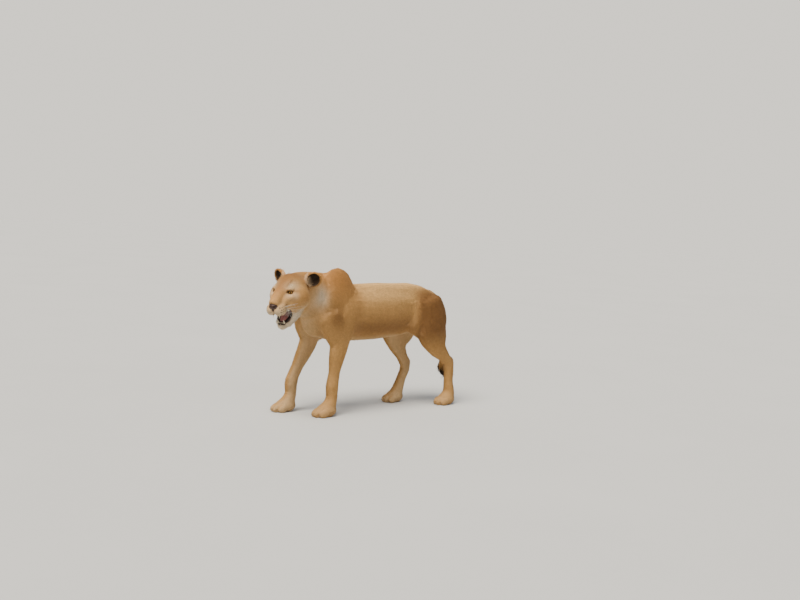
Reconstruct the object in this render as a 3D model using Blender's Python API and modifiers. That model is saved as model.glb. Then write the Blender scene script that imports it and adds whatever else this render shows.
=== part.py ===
"""Lioness, life size, as a still model walking with her head turned to her left.

The head end is toward -Y, +Z is up and her left side is +X. The floor is Z = 0.
Forms are placed from the middle of the chest, and the finished pieces are then
moved so that the middle of the whole is over the origin. Big forms are blended into one body, fine forms are blended onto it, and thin
cuts then part it into the pieces that a person would name.
"""

import math

import bmesh
import bpy
from mathutils import Matrix, Vector

# Driving dimensions, in metres.
WITHERS_HEIGHT = 1.0  # top of the raised left shoulder blade
BACK_HEIGHT = 0.893
BELLY_HEIGHT = 0.505
GAP = 0.0003  # left between neighbouring solids
COARSE_VOXEL = 0.011
FINE_VOXEL = 0.0062
BODY_TRIANGLES = 4550

# The head hangs from the point midway between the eyes.
EYE_POINT = Vector((0.152, -0.876, 0.853))
HEAD_YAW = math.radians(24)
HEAD_PITCH = math.radians(13)
HEAD_SCALE = 1.06
JAW_DROP = math.radians(23)
JAW_HINGE = (0.0, -0.095, -0.072)
EYE_SPREAD = 0.052
EYE_RADIUS = 0.0185
EAR_HEIGHT = 0.100

FORE_STANCE = {"left": -0.435, "right": -0.600}  # wrist's Y of each foreleg
TO_MIDDLE = (-0.027, 0.100, 0.0)  # from the forms' origin to the middle of the whole
RING_CORNERS = 20
LOFT_STEPS = 5

COAT = (0.58, 0.39, 0.20)
PALE_COAT = (0.70, 0.56, 0.38)
DARK_COAT = (0.08, 0.05, 0.03)
# colour and roughness of each piece that isn't plain coat
FINISHES = {
    "lower_jaw": (PALE_COAT, 0.8),
    "tail_tuft": (DARK_COAT, 0.8),
    "eye_left": ((0.50, 0.27, 0.06), 0.1),
    "eye_right": ((0.50, 0.27, 0.06), 0.1),
    "nose": ((0.10, 0.06, 0.05), 0.45),
    "tongue": ((0.62, 0.30, 0.27), 0.4),
}


def clear_scene():
    for obj in list(bpy.data.objects):
        bpy.data.objects.remove(obj, do_unlink=True)


def material(name, colour, roughness):
    made = bpy.data.materials.new(name)
    made.use_nodes = True
    shader = made.node_tree.nodes["Principled BSDF"]
    shader.inputs["Base Color"].default_value = (*colour, 1.0)
    shader.inputs["Roughness"].default_value = roughness
    shader.inputs["Metallic"].default_value = 0.0
    return made


def head_matrix():
    """Head axes as columns: her left, forward, up, hung at the eye point."""
    forward = Vector((
        math.sin(HEAD_YAW) * math.cos(HEAD_PITCH),
        -math.cos(HEAD_YAW) * math.cos(HEAD_PITCH),
        -math.sin(HEAD_PITCH),
    ))
    left = Vector((math.cos(HEAD_YAW), math.sin(HEAD_YAW), 0.0))
    up = forward.cross(left)
    axes = Matrix((left, forward, up)).transposed().to_4x4()
    return Matrix.Translation(EYE_POINT) @ axes @ Matrix.Scale(HEAD_SCALE, 4)


def jaw_matrix():
    """Head axes with everything turned down about the jaw's hinge."""
    hinge = Matrix.Translation(JAW_HINGE)
    return head_matrix() @ hinge @ Matrix.Rotation(-JAW_DROP, 4, "X") @ hinge.inverted()


# ---------------------------------------------------------------- form tools

def ellipsoid(bm, centre, radii, tilt=0.0, place=Matrix(), axis="X", corners=20):
    matrix = (
        place
        @ Matrix.Translation(centre)
        @ Matrix.Rotation(math.radians(tilt), 4, axis)
        @ Matrix.Diagonal((*radii, 1.0))
    )
    bmesh.ops.create_uvsphere(
        bm, u_segments=corners, v_segments=corners // 2 + 1, radius=1.0, matrix=matrix,
    )


def both_sides(bm, centre, radii, tilt=0.0, place=Matrix(), axis="X"):
    for side in (1, -1):
        turn = tilt if axis == "X" else tilt * side
        ellipsoid(bm, (centre[0] * side, *centre[1:]), radii, turn, place, axis)


def muscle(bm, start, end, thickness, depth, place=Matrix()):
    """An oval mass stretched from start to end, thick along X."""
    start, end = Vector(start), Vector(end)
    along = (end - start).normalized()
    side = (Vector((1, 0, 0)) - along * along.x).normalized()
    front = along.cross(side)
    radii = (side * thickness, front * depth, (end - start) / 2)
    axes = Matrix(radii).transposed().to_4x4()
    matrix = place @ Matrix.Translation((start + end) / 2) @ axes
    bmesh.ops.create_uvsphere(bm, u_segments=20, v_segments=12, radius=1.0, matrix=matrix)


def muscle_pair(bm, start, end, thickness, depth, place=Matrix()):
    for side in (1, -1):
        ends = [(point[0] * side, point[1], point[2]) for point in (start, end)]
        muscle(bm, *ends, thickness, depth, place)


def smooth_path(stations, steps=LOFT_STEPS):
    """Catmull-Rom values between stations, each a flat tuple of numbers."""
    points = [Vector(station) for station in stations]
    points = [2 * points[0] - points[1], *points, 2 * points[-1] - points[-2]]
    path = []
    for before, start, end, after in zip(points, points[1:], points[2:], points[3:]):
        for step in range(steps):
            t = step / steps
            path.append(0.5 * (
                2 * start
                + (end - before) * t
                + (2 * before - 5 * start + 4 * end - after) * t ** 2
                + (3 * start - before - 3 * end + after) * t ** 3
            ))
    path.append(points[-2])
    return path


def loft(bm, stations, place=Matrix(), steps=LOFT_STEPS, dome=0.85):
    """Oval rings along a path, with domed ends. A station is x, y, z, half width, half depth."""
    path = smooth_path(stations, steps)
    rings = []
    ends = []
    for index, values in enumerate(path):
        before = path[max(index - 1, 0)]
        after = path[min(index + 1, len(path) - 1)]
        along = (Vector(after[:3]) - Vector(before[:3])).normalized()
        side = (Vector((1, 0, 0)) - along * along.x).normalized()
        depth = along.cross(side)
        axes = Matrix((side * values[3], depth * values[4], along)).transposed().to_4x4()
        made = bmesh.ops.create_circle(
            bm, cap_ends=False, segments=RING_CORNERS, radius=1.0,
            matrix=place @ Matrix.Translation(Vector(values[:3])) @ axes,
        )
        rings.append(made["verts"])
        ends.append(place @ Matrix.Translation(Vector(values[:3])) @ axes @ Matrix.Diagonal(
            (1, 1, dome * min(values[3], values[4]), 1)))
    edges = [ring_edges(ring) for ring in rings]
    for first, second in zip(edges, edges[1:]):
        bmesh.ops.bridge_loops(bm, edges=first + second)
    for end in (edges[0], edges[-1]):
        bmesh.ops.contextual_create(bm, geom=end)
    if dome:
        for axes in (ends[0], ends[-1]):
            bmesh.ops.create_uvsphere(
                bm, u_segments=RING_CORNERS, v_segments=12, radius=1.0, matrix=axes)


def ring_edges(ring):
    inside = set(ring)
    found = {edge for vert in ring for edge in vert.link_edges}
    return [edge for edge in found if set(edge.verts) <= inside]


def new_object(name, bm):
    bmesh.ops.recalc_face_normals(bm, faces=bm.faces)
    mesh = bpy.data.meshes.new(name)
    bm.to_mesh(mesh)
    bm.free()
    obj = bpy.data.objects.new(name, mesh)
    bpy.context.scene.collection.objects.link(obj)
    return obj


def apply_modifiers(obj):
    graph = bpy.context.evaluated_depsgraph_get()
    mesh = bpy.data.meshes.new_from_object(obj.evaluated_get(graph))
    obj.modifiers.clear()
    obj.data = mesh


def blend(obj, voxel, rounds):
    """Makes overlapping forms one surface and smooths the joins."""
    remesh = obj.modifiers.new("one_surface", "REMESH")
    remesh.mode = "VOXEL"
    remesh.voxel_size = voxel
    smooth = obj.modifiers.new("soft_joins", "SMOOTH")
    smooth.factor = 0.5
    smooth.iterations = rounds
    apply_modifiers(obj)


def join(first, second):
    bm = bmesh.new()
    bm.from_mesh(first.data)
    bm.from_mesh(second.data)
    bm.to_mesh(first.data)
    bm.free()
    bpy.data.objects.remove(second, do_unlink=True)


def boolean(obj, other, operation):
    cut = obj.modifiers.new(operation.lower(), "BOOLEAN")
    cut.operation = operation
    cut.solver = "EXACT"
    cut.object = other
    apply_modifiers(obj)
    bpy.data.objects.remove(other, do_unlink=True)


# ---------------------------------------------------------------- the forms

def trunk_forms(bm):
    # y, top, bottom, half width
    outline = (
        (-0.610, 0.745, 0.650, 0.050),
        (-0.565, 0.850, 0.585, 0.100),
        (-0.480, 0.915, 0.530, 0.132),
        (-0.380, 0.915, 0.500, 0.150),
        (-0.250, 0.898, BELLY_HEIGHT - 0.015, 0.166),
        (-0.100, BACK_HEIGHT, BELLY_HEIGHT - 0.012, 0.176),
        (0.050, BACK_HEIGHT, BELLY_HEIGHT, 0.172),
        (0.170, 0.896, 0.520, 0.155),
        (0.290, 0.898, 0.555, 0.136),
        (0.390, 0.882, 0.610, 0.122),
        (0.460, 0.838, 0.665, 0.098),
        (0.505, 0.785, 0.710, 0.055),
    )
    loft(bm, [(0, y, (t + b) / 2, w, (t - b) / 2) for y, t, b, w in outline])
    muscle(bm, (0, -0.545, 0.800), (0, -0.520, 0.530), 0.098, 0.085)
    muscle(bm, (0, -0.080, 0.545), (0, 0.330, 0.575), 0.105, 0.048)
    muscle_pair(bm, (0.050, -0.300, 0.850), (0.052, 0.420, 0.848), 0.055, 0.045)


def shoulder_forms(bm):
    for side, lift in ((1, 0.0), (-1, -0.040)):
        muscle(
            bm, (side * 0.052, -0.362, WITHERS_HEIGHT + lift),
            (side * 0.112, -0.448, 0.640 + lift), 0.064, 0.160,
        )
        muscle(
            bm, (side * 0.060, -0.462, 0.960 + lift),
            (side * 0.128, -0.520, 0.590), 0.060, 0.095,
        )
        muscle(
            bm, (side * 0.105, -0.320, 0.820 + lift),
            (side * 0.140, -0.385, 0.480), 0.056, 0.088,
        )


def rump_forms(bm):
    muscle_pair(bm, (0.060, 0.250, 0.850), (0.085, 0.515, 0.685), 0.072, 0.082)
    muscle_pair(bm, (0.100, 0.320, 0.830), (0.118, 0.330, 0.520), 0.062, 0.110)
    muscle_pair(bm, (0.090, 0.150, 0.730), (0.120, 0.330, 0.520), 0.040, 0.055)


def neck_forms(bm):
    loft(bm, (
        (0.000, -0.380, 0.780, 0.130, 0.170),
        (0.005, -0.510, 0.805, 0.128, 0.164),
        (0.026, -0.620, 0.824, 0.124, 0.152),
        (0.057, -0.706, 0.838, 0.120, 0.138),
        (0.090, -0.778, 0.848, 0.112, 0.118),
    ))


def foreleg_forms(bm, side, wrist_y):
    swing = wrist_y + 0.435
    x = 0.130 * side
    loft(bm, (
        (x, -0.490 + 0.15 * swing, 0.680, 0.060, 0.095),
        (x * 1.06, -0.445 + 0.25 * swing, 0.590, 0.060, 0.095),
        (x * 1.06, -0.405 + 0.35 * swing, 0.500, 0.054, 0.078),
        (x * 1.04, -0.412 + 0.50 * swing, 0.415, 0.051, 0.065),
        (x * 1.00, -0.425 + 0.80 * swing, 0.300, 0.043, 0.050),
        (x * 0.98, wrist_y, 0.205, 0.046, 0.049),
        (x * 0.98, wrist_y + 0.002, 0.130, 0.045, 0.046),
        (x * 0.98, wrist_y - 0.010, 0.085, 0.050, 0.052),
        (x * 0.98, wrist_y - 0.030, 0.050, 0.052, 0.062),
    ))


def hindleg_forms(bm, side, knee, hock, heel):
    """knee and hock are (y, z) in the leg's own plane."""
    x = 0.114 * side
    knee, hock = Vector(knee), Vector(hock)
    calf = knee.lerp(hock, 0.42)
    tendon = knee.lerp(hock, 0.78)
    loft(bm, (
        (x * 0.88, 0.390, 0.750, 0.078, 0.128),
        (x * 1.08, 0.300 + 0.35 * knee.x, 0.640, 0.075, 0.138),
        (x * 1.16, knee.x + 0.060, knee.y + 0.035, 0.065, 0.105),
        (x * 1.12, calf.x + 0.025, calf.y + 0.010, 0.054, 0.080),
        (x * 1.06, tendon.x + 0.006, tendon.y + 0.006, 0.040, 0.052),
        (x * 1.02, hock.x, hock.y - 0.020, 0.037, 0.046),
        (x * 1.00, (hock.x + heel) / 2 - 0.004, 0.175, 0.036, 0.039),
        (x * 1.00, heel - 0.006, 0.085, 0.044, 0.047),
        (x * 1.00, heel - 0.024, 0.050, 0.048, 0.058),
    ))
    muscle(
        bm, (x * 0.80, 0.452, 0.775), (x * 1.02, calf.x + 0.085, calf.y - 0.010),
        0.056, 0.070,
    )
    heel_bone = (x * 1.02, hock.x + 0.020, hock.y + 0.012)
    ellipsoid(bm, heel_bone, (0.026, 0.028, 0.040), 15)


def paw_forms(bm, x, y, size):
    """A paw whose middle is at x, y, with four toes toward -Y."""
    ellipsoid(bm, (x, y + 0.010, 0.040), (0.055 * size, 0.078 * size, 0.048))
    ellipsoid(bm, (x, y - 0.028, 0.030), (0.053 * size, 0.056 * size, 0.036))
    for across, ahead in ((-0.043, -0.030), (-0.015, -0.058), (0.015, -0.058), (0.043, -0.030)):
        ellipsoid(
            bm, (x + across * size, y + ahead * size, 0.026),
            (0.0175 * size, 0.037 * size, 0.031), 10,
        )


def tail_forms(bm):
    loft(bm, (
        (0.000, 0.460, 0.805, 0.050, 0.048),
        (0.000, 0.525, 0.785, 0.040, 0.040),
        (0.000, 0.578, 0.725, 0.032, 0.033),
        (-0.002, 0.610, 0.620, 0.026, 0.026),
        (-0.006, 0.632, 0.490, 0.024, 0.024),
        (-0.014, 0.652, 0.360, 0.023, 0.023),
        (-0.028, 0.684, 0.265, 0.029, 0.029),
        (-0.042, 0.722, 0.215, 0.038, 0.038),
        (-0.054, 0.764, 0.192, 0.026, 0.026),
        (-0.062, 0.798, 0.184, 0.010, 0.010),
    ))


def skull_forms(bm):
    """Rounded masses of the head in head axes: left, forward, up."""
    place = head_matrix()
    ellipsoid(bm, (0, -0.085, 0.004), (0.088, 0.112, 0.086), 0, place)
    ellipsoid(bm, (0, -0.022, 0.008), (0.066, 0.062, 0.056), 0, place)
    both_sides(bm, (0.072, -0.066, -0.050), (0.056, 0.080, 0.078), 0, place)
    both_sides(bm, (0.058, -0.006, -0.030), (0.038, 0.050, 0.034), 0, place)
    ellipsoid(bm, (0, -0.130, -0.060), (0.104, 0.095, 0.095), 0, place)


def muzzle_forms(bm):
    place = head_matrix()
    loft(bm, (
        (0, -0.030, 0.016, 0.052, 0.046),
        (0, 0.020, -0.006, 0.044, 0.046),
        (0, 0.062, -0.026, 0.038, 0.042),
        (0, 0.098, -0.043, 0.036, 0.036),
        (0, 0.116, -0.056, 0.032, 0.028),
    ), place, dome=0)
    both_sides(bm, (0.038, 0.022, -0.040), (0.034, 0.056, 0.036), -20, place)
    ellipsoid(bm, (0, 0.048, -0.074), (0.058, 0.074, 0.048), -10, place)
    both_sides(bm, (0.027, 0.084, -0.090), (0.036, 0.047, 0.040), -10, place)
    both_sides(bm, (0.044, -0.002, 0.021), (0.031, 0.029, 0.013), 6, place, "Y")
    both_sides(bm, (0.053, 0.002, -0.070), (0.030, 0.050, 0.038), -12, place)
    both_sides(bm, (0.062, -0.040, -0.105), (0.030, 0.056, 0.052), 25, place)


def jaw_forms(bm):
    place = jaw_matrix()
    for side in (1, -1):
        loft(bm, (
            (side * 0.062, -0.090, -0.085, 0.032, 0.050),
            (side * 0.052, -0.040, -0.118, 0.029, 0.042),
            (side * 0.040, 0.020, -0.135, 0.026, 0.033),
            (side * 0.024, 0.070, -0.140, 0.026, 0.030),
        ), place, dome=0)
    ellipsoid(bm, (0, 0.078, -0.142), (0.036, 0.030, 0.030), 0, place)
    ellipsoid(bm, (0, 0.000, -0.150), (0.050, 0.085, 0.020), -4, place)


def body():
    """The whole animal without ears and eyes, as one closed surface."""
    coarse = bmesh.new()
    trunk_forms(coarse)
    shoulder_forms(coarse)
    rump_forms(coarse)
    neck_forms(coarse)
    for side, name in ((1, "left"), (-1, "right")):
        foreleg_forms(coarse, side, FORE_STANCE[name])
    hindleg_forms(coarse, 1, (0.335, 0.510), (0.620, 0.315), 0.645)
    hindleg_forms(coarse, -1, (0.200, 0.530), (0.395, 0.285), 0.335)
    skull_forms(coarse)
    tail_forms(coarse)
    whole = new_object("body", coarse)
    blend(whole, COARSE_VOXEL, 9)

    fine = bmesh.new()
    muzzle_forms(fine)
    jaw_forms(fine)
    paw_forms(fine, 0.127, -0.482, 1.0)
    paw_forms(fine, -0.127, -0.647, 1.0)
    paw_forms(fine, 0.114, 0.605, 0.95)
    paw_forms(fine, -0.114, 0.295, 0.95)
    join(whole, new_object("fine", fine))
    blend(whole, FINE_VOXEL, 4)
    return whole


# ---------------------------------------------------------------- the parting

def plate(bm, centre, normal, half_sizes, place=Matrix()):
    """A blade as thick as the gap. Its first half size runs along X."""
    normal = Vector(normal).normalized()
    side = (Vector((1, 0, 0)) - normal * normal.x).normalized()
    across = normal.cross(side)
    axes = (side * half_sizes[0] * 2, across * half_sizes[1] * 2, normal * GAP)
    matrix = (
        place @ Matrix.Translation(centre) @ Matrix(axes).transposed().to_4x4()
    )
    bmesh.ops.create_cube(bm, size=1.0, matrix=matrix)


def body_plates(bm):
    plate(bm, (0.055, -0.715, 0.835), (0.40, -0.91, 0.05), (0.21, 0.21))
    plate(bm, (0.010, -0.545, 0.845), (0.0, -0.84, 0.55), (0.22, 0.225))
    plate(bm, (0.000, 0.580, 0.725), (0.0, 0.50, -0.87), (0.042, 0.042))
    plate(bm, (-0.024, 0.677, 0.285), (-0.13, 0.30, -0.94), (0.045, 0.045))
    for x, y in ((0.127, -0.435), (-0.127, -0.602), (0.114, 0.642), (-0.114, 0.336)):
        plate(bm, (x, y, 0.108), (0, 0, 1), (0.075, 0.080))


def leg_block(side, inner, front, back, grown):
    """A block round one leg, with a sloping top from front to back, each (y, z)."""
    bm = bmesh.new()
    bmesh.ops.create_cube(bm, size=1.0)
    for vert in bm.verts:
        y, top = front if vert.co.y < 0 else back
        outward = math.copysign(grown, vert.co.y)
        inside = vert.co.x * side < 0
        vert.co.x = side * (inner - grown if inside else 0.4)
        vert.co.y = y + outward
        vert.co.z = top + 1.2 * grown if vert.co.z > 0 else -0.1
    return new_object("block", bm)


def take_leg(whole, name, *block):
    """Cuts one leg out of whole and returns it."""
    leg = bpy.data.objects.new(name, whole.data.copy())
    bpy.context.scene.collection.objects.link(leg)
    boolean(leg, leg_block(*block, 0.0), "INTERSECT")
    boolean(whole, leg_block(*block, GAP), "DIFFERENCE")
    return keep_largest(leg)


def keep_largest(obj):
    parts = loose_parts(obj)
    largest = max(parts, key=lambda part: max(part.dimensions))
    for part in parts:
        if part is not largest:
            bpy.data.objects.remove(part, do_unlink=True)
    return largest


def loose_parts(obj):
    """Splits obj into its separate bodies and returns them."""
    bpy.ops.object.select_all(action="DESELECT")
    obj.select_set(True)
    bpy.context.view_layer.objects.active = obj
    bpy.ops.mesh.separate(type="LOOSE")
    return list(bpy.context.selected_objects)


def middle(obj):
    corners = [Vector(corner) for corner in obj.bound_box]
    return sum(corners, Vector()) / len(corners)


def name_parts(parts, places):
    """Gives each part the name whose place is nearest to the part's middle."""
    named = {}
    for name, place in places.items():
        nearest = min(parts, key=lambda part: (middle(part) - Vector(place)).length)
        nearest.name = name
        named[name] = nearest
    return named


def part_body(whole):
    blades = bmesh.new()
    body_plates(blades)
    boolean(whole, new_object("blades", blades), "DIFFERENCE")
    named = name_parts(loose_parts(whole), {
        "head": (0.150, -0.860, 0.820),
        "neck": (0.030, -0.620, 0.830),
        "trunk": (0.000, 0.000, 0.740),
        "tail": (-0.010, 0.630, 0.500),
        "tail_tuft": (-0.040, 0.730, 0.220),
        "forepaw_left": (0.127, -0.480, 0.050),
        "forepaw_right": (-0.127, -0.645, 0.050),
        "hindpaw_left": (0.114, 0.605, 0.050),
        "hindpaw_right": (-0.114, 0.295, 0.050),
    })
    # side, inner face, then the (y, z) of the cut's front and back edges
    for name, block in {
        "foreleg_left": (1, 0.055, (-0.620, 0.660), (-0.270, 0.500)),
        "foreleg_right": (-1, 0.055, (-0.790, 0.700), (-0.300, 0.500)),
        "hindleg_left": (1, 0.030, (0.170, 0.530), (0.720, 0.780)),
        "hindleg_right": (-1, 0.030, (0.110, 0.515), (0.620, 0.760)),
    }.items():
        named[name] = take_leg(named["trunk"], name, *block)
    named["trunk"] = keep_largest(named["trunk"])
    for name, obj in named.items():
        obj.name = name
    return named


def part_jaw(parts):
    blade = bmesh.new()
    plate(blade, (0, -0.080, -0.1225), (0, 0.135, 0.99), (0.2, 0.13), head_matrix())
    boolean(parts["head"], new_object("blade", blade), "DIFFERENCE")
    place = head_matrix()
    parts.update(name_parts(loose_parts(parts["head"]), {
        "head": place @ Vector((0, -0.050, 0.0)),
        "lower_jaw": place @ Vector((0, -0.060, -0.190)),
    }))


# ---------------------------------------------------------------- fitted pieces

def swollen_copy(obj):
    """A copy of obj that stands out by the gap, to cut a neighbour with."""
    copy = bpy.data.objects.new(obj.name + "_swollen", obj.data.copy())
    bpy.context.scene.collection.objects.link(copy)
    swell = copy.modifiers.new("swell", "DISPLACE")
    swell.strength = GAP
    swell.mid_level = 0.0
    apply_modifiers(copy)
    return copy


def fit_onto(piece, neighbours):
    for neighbour in neighbours:
        boolean(piece, swollen_copy(neighbour), "DIFFERENCE")
    return keep_largest(piece)


def ear(side, parts):
    long_axis = Vector((0.76 * side, -0.20, 0.62)).normalized()
    facing = Vector((0.45 * side, 0.86, 0.05))
    facing = (facing - long_axis * facing.dot(long_axis)).normalized()
    width_axis = facing.cross(long_axis)
    axes = Matrix((width_axis, facing, long_axis)).transposed().to_4x4()
    seat = Matrix.Translation((0.122 * side, -0.160, 0.042))
    place = head_matrix() @ seat @ axes
    half = EAR_HEIGHT / 2 / HEAD_SCALE
    shell = bmesh.new()
    ellipsoid(shell, (0, 0, 0), (half * 0.98, half * 0.62, half * 1.12), 0, place, corners=16)
    made = new_object("ear", shell)
    hollow = bmesh.new()
    ellipsoid(
        hollow, (0, half * 0.46, half * 0.02),
        (half * 0.82, half * 0.80, half * 0.93), 0, place, corners=14,
    )
    boolean(made, new_object("hollow", hollow), "DIFFERENCE")
    made = fit_onto(made, [parts["head"], parts["neck"]])
    made.name = "ear_left" if side > 0 else "ear_right"
    return made


def eye(side, parts):
    centre = (EYE_SPREAD * side, -0.006, 0.0)
    radius = EYE_RADIUS / HEAD_SCALE
    opening = bmesh.new()
    socket = radius + GAP * 1.5
    ellipsoid(opening, centre, (socket,) * 3, 90, head_matrix(), corners=14)
    boolean(parts["head"], new_object("socket", opening), "DIFFERENCE")
    slot = bmesh.new()
    slot_centre = (centre[0] + 0.004 * side, 0.016, 0.0)
    ellipsoid(slot, slot_centre, (0.0155, 0.022, 0.0115), 10 * side, head_matrix(), "Y", 12)
    boolean(parts["head"], new_object("slot", slot), "DIFFERENCE")
    ball = bmesh.new()
    ellipsoid(ball, centre, (radius,) * 3, 90, head_matrix(), corners=14)
    return new_object("eye_left" if side > 0 else "eye_right", ball)


def nose_form(grown):
    """The nose pad with its groove, stood out by grown."""
    place = head_matrix()
    grown /= HEAD_SCALE
    pad = bmesh.new()
    radii = (0.030 + grown, 0.024 + grown, 0.019 + grown)
    ellipsoid(pad, (0, 0.117, -0.060), radii, -20, place, corners=14)
    made = new_object("nose", pad)
    groove = bmesh.new()
    radii = (0.011 + grown, 0.018 + grown, 0.018 + grown)
    ellipsoid(groove, (0, 0.119, -0.080), radii, 0, place, corners=10)
    boolean(made, new_object("groove", groove), "UNION")
    return made


def nose_pad(parts):
    boolean(parts["head"], nose_form(2 * GAP), "DIFFERENCE")
    return nose_form(0.0)


def fang(bm, base, tip, radius, place):
    base, tip = Vector(base), Vector(tip)
    turn = (tip - base).to_track_quat("Z", "Y").to_matrix().to_4x4()
    bmesh.ops.create_cone(
        bm, cap_ends=True, segments=8, radius1=radius, radius2=radius * 0.25,
        depth=(tip - base).length, matrix=place @ Matrix.Translation((base + tip) / 2) @ turn,
    )


def grow_teeth(parts):
    for name, place, base_height, tip_height, reach in (
        ("head", head_matrix(), -0.112, -0.145, 0.092),
        ("lower_jaw", jaw_matrix(), -0.128, -0.093, 0.080),
    ):
        for side in (1, -1):
            teeth = bmesh.new()
            fang(
                teeth, (0.024 * side, reach, base_height),
                (0.025 * side, reach + 0.003, tip_height), 0.0110, place,
            )
            boolean(parts[name], new_object("tooth", teeth), "UNION")


def tongue(parts):
    made = bmesh.new()
    place = jaw_matrix()
    ellipsoid(made, (0, 0.020, -0.122), (0.030, 0.066, 0.013), 4, place, corners=16)
    made = fit_onto(new_object("tongue", made), [parts["lower_jaw"], parts["head"]])
    made.name = "tongue"
    return made


def floor_flats(parts):
    """Slices the soles level, so that she stands on flats at Z = 0."""
    for name in ("forepaw_left", "forepaw_right", "hindpaw_left", "hindpaw_right"):
        ground = bmesh.new()
        bmesh.ops.create_cube(
            ground, size=1.0,
            matrix=Matrix.Translation((0, 0, -0.5)) @ Matrix.Diagonal((4, 4, 1, 1)),
        )
        boolean(parts[name], new_object("ground", ground), "DIFFERENCE")


def main():
    clear_scene()
    whole = body()
    reduce = whole.modifiers.new("fewer_faces", "DECIMATE")
    reduce.ratio = BODY_TRIANGLES / (2 * len(whole.data.polygons))
    apply_modifiers(whole)
    parts = part_body(whole)
    part_jaw(parts)
    floor_flats(parts)
    for side in (1, -1):
        made = ear(side, parts)
        parts[made.name] = made
    parts["nose"] = nose_pad(parts)
    for side in (1, -1):
        made = eye(side, parts)
        parts[made.name] = made
    grow_teeth(parts)
    parts["tongue"] = tongue(parts)
    for name, obj in parts.items():
        obj.data.transform(Matrix.Translation(TO_MIDDLE))
        obj.data.materials.clear()
        obj.data.materials.append(material(name, *FINISHES.get(name, (COAT, 0.8))))


main()
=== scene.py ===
"""Looks of the life-size lioness: skin, coat of tufts, eyes, teeth, tongue, claws, whiskers.

All forms are placed from the middle of the chest, as in the solids, with the head
toward -Y and her left side toward +X. settle() then moves each finished piece so
that the middle of the whole animal is over the origin.
"""

import math

import bmesh
import bpy
import numpy as np
from mathutils import Matrix, Vector


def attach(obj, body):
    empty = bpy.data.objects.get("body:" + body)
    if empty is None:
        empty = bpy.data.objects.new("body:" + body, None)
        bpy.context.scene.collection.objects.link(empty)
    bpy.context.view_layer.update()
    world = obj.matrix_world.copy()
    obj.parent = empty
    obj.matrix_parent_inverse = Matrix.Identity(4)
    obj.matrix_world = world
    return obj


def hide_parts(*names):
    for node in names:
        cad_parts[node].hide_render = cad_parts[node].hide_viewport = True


bl_info = {
    "name": "Lioness",
    "version": (1, 0, 0),
    "blender": (4, 5, 0),
    "location": "View3D > Sidebar > Lioness",
    "description": "Skin, coat and face of a life-size lioness around her solids",
    "category": "Object",
}

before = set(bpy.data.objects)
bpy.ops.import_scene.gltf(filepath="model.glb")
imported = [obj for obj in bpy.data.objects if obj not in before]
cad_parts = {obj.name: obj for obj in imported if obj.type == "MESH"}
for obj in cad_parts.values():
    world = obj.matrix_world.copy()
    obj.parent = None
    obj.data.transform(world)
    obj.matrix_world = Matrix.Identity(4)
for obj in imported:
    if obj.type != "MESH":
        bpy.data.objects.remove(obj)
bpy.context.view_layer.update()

TO_MIDDLE = Vector((-0.027, 0.100, 0.0))
WITHERS_HEIGHT = 1.0
BACK_HEIGHT = 0.893
BELLY_HEIGHT = 0.505

# The head hangs from the point midway between the eyes.
EYE_POINT = Vector((0.152, -0.876, 0.853))
HEAD_YAW = math.radians(24)
HEAD_PITCH = math.radians(13)
HEAD_SCALE = 1.06
JAW_DROP = math.radians(23)
JAW_HINGE = (0.0, -0.095, -0.072)
EYE_SPREAD = 0.052
EYE_RADIUS = 0.0185
EYE_FORWARD = -0.006
EAR_HEIGHT = 0.100
EAR_SEAT = (0.122, -0.160, 0.042)
EAR_REACH = (0.056, 0.040, 0.060)  # oval round an ear, in ear axes
NOSE_PAD = (0.0, 0.117, -0.060)

SUNLIT_BACK_COLOUR = (0.78, 0.47, 0.18)  # painted sunlight on the hair along the top of the back
CUP_SHADE_COLOUR = (0.020, 0.012, 0.009)  # painted shade deep inside the ears
FRINGE_COLOUR = (0.66, 0.46, 0.28)  # hair at the inner rims of the ears
MOUTH_COLOUR = (0.085, 0.035, 0.030)
NOSE_COLOUR = (0.050, 0.021, 0.013)
SOLE_COLOUR = (0.05, 0.035, 0.03)

FORE_STANCE = {"left": -0.435, "right": -0.600}  # wrist's Y of each foreleg
# middle of each paw (x, y) and its size
PAWS = {
    "forepaw_left": (0.127, -0.482, 1.0),
    "forepaw_right": (-0.127, -0.647, 1.0),
    "hindpaw_left": (0.114, 0.605, 0.95),
    "hindpaw_right": (-0.114, 0.295, 0.95),
}
# each toe's place across and ahead of the paw's middle
TOES = ((-0.043, -0.030), (-0.015, -0.058), (0.015, -0.058), (0.043, -0.030))
FLOOR_GAP = 0.0004  # the lowest skin and hair stay this far above the floor
TUFT_WIDTH = 0.00104  # half width of a short tuft at its root
TUFT_PATCH = 0.003  # size of each tuft's patch on the skin's unwrap
ROOT_DEPTH = 0.0008  # how far a tuft's root is sunk into the skin
HAIR_LENGTH = 0.0152  # length of the short coat on the trunk
USUAL_LENGTH = 0.014  # shorter hair than this is finer and closer, longer hair the reverse
STRAY = 0.24  # how far hairs stray sideways from their lie
DROOP = 0.30  # how far the end of a tuft bends over, in its own lengths

CHEST_Y = -0.1  # the camera's bearing and distance are measured from here
CAMERA_LENS = 45
CAMERA_SENSOR = 36
CAMERA_HEADING = math.radians(141.0)
CAMERA_PITCH = math.radians(5.077)
CAMERA_ROLL = math.atan(0.06)
FLOOR_SIZE = 80
WORLD_COLOUR = (0.95, 0.96, 1.0)
WORLD_STRENGTH = 0.34
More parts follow.
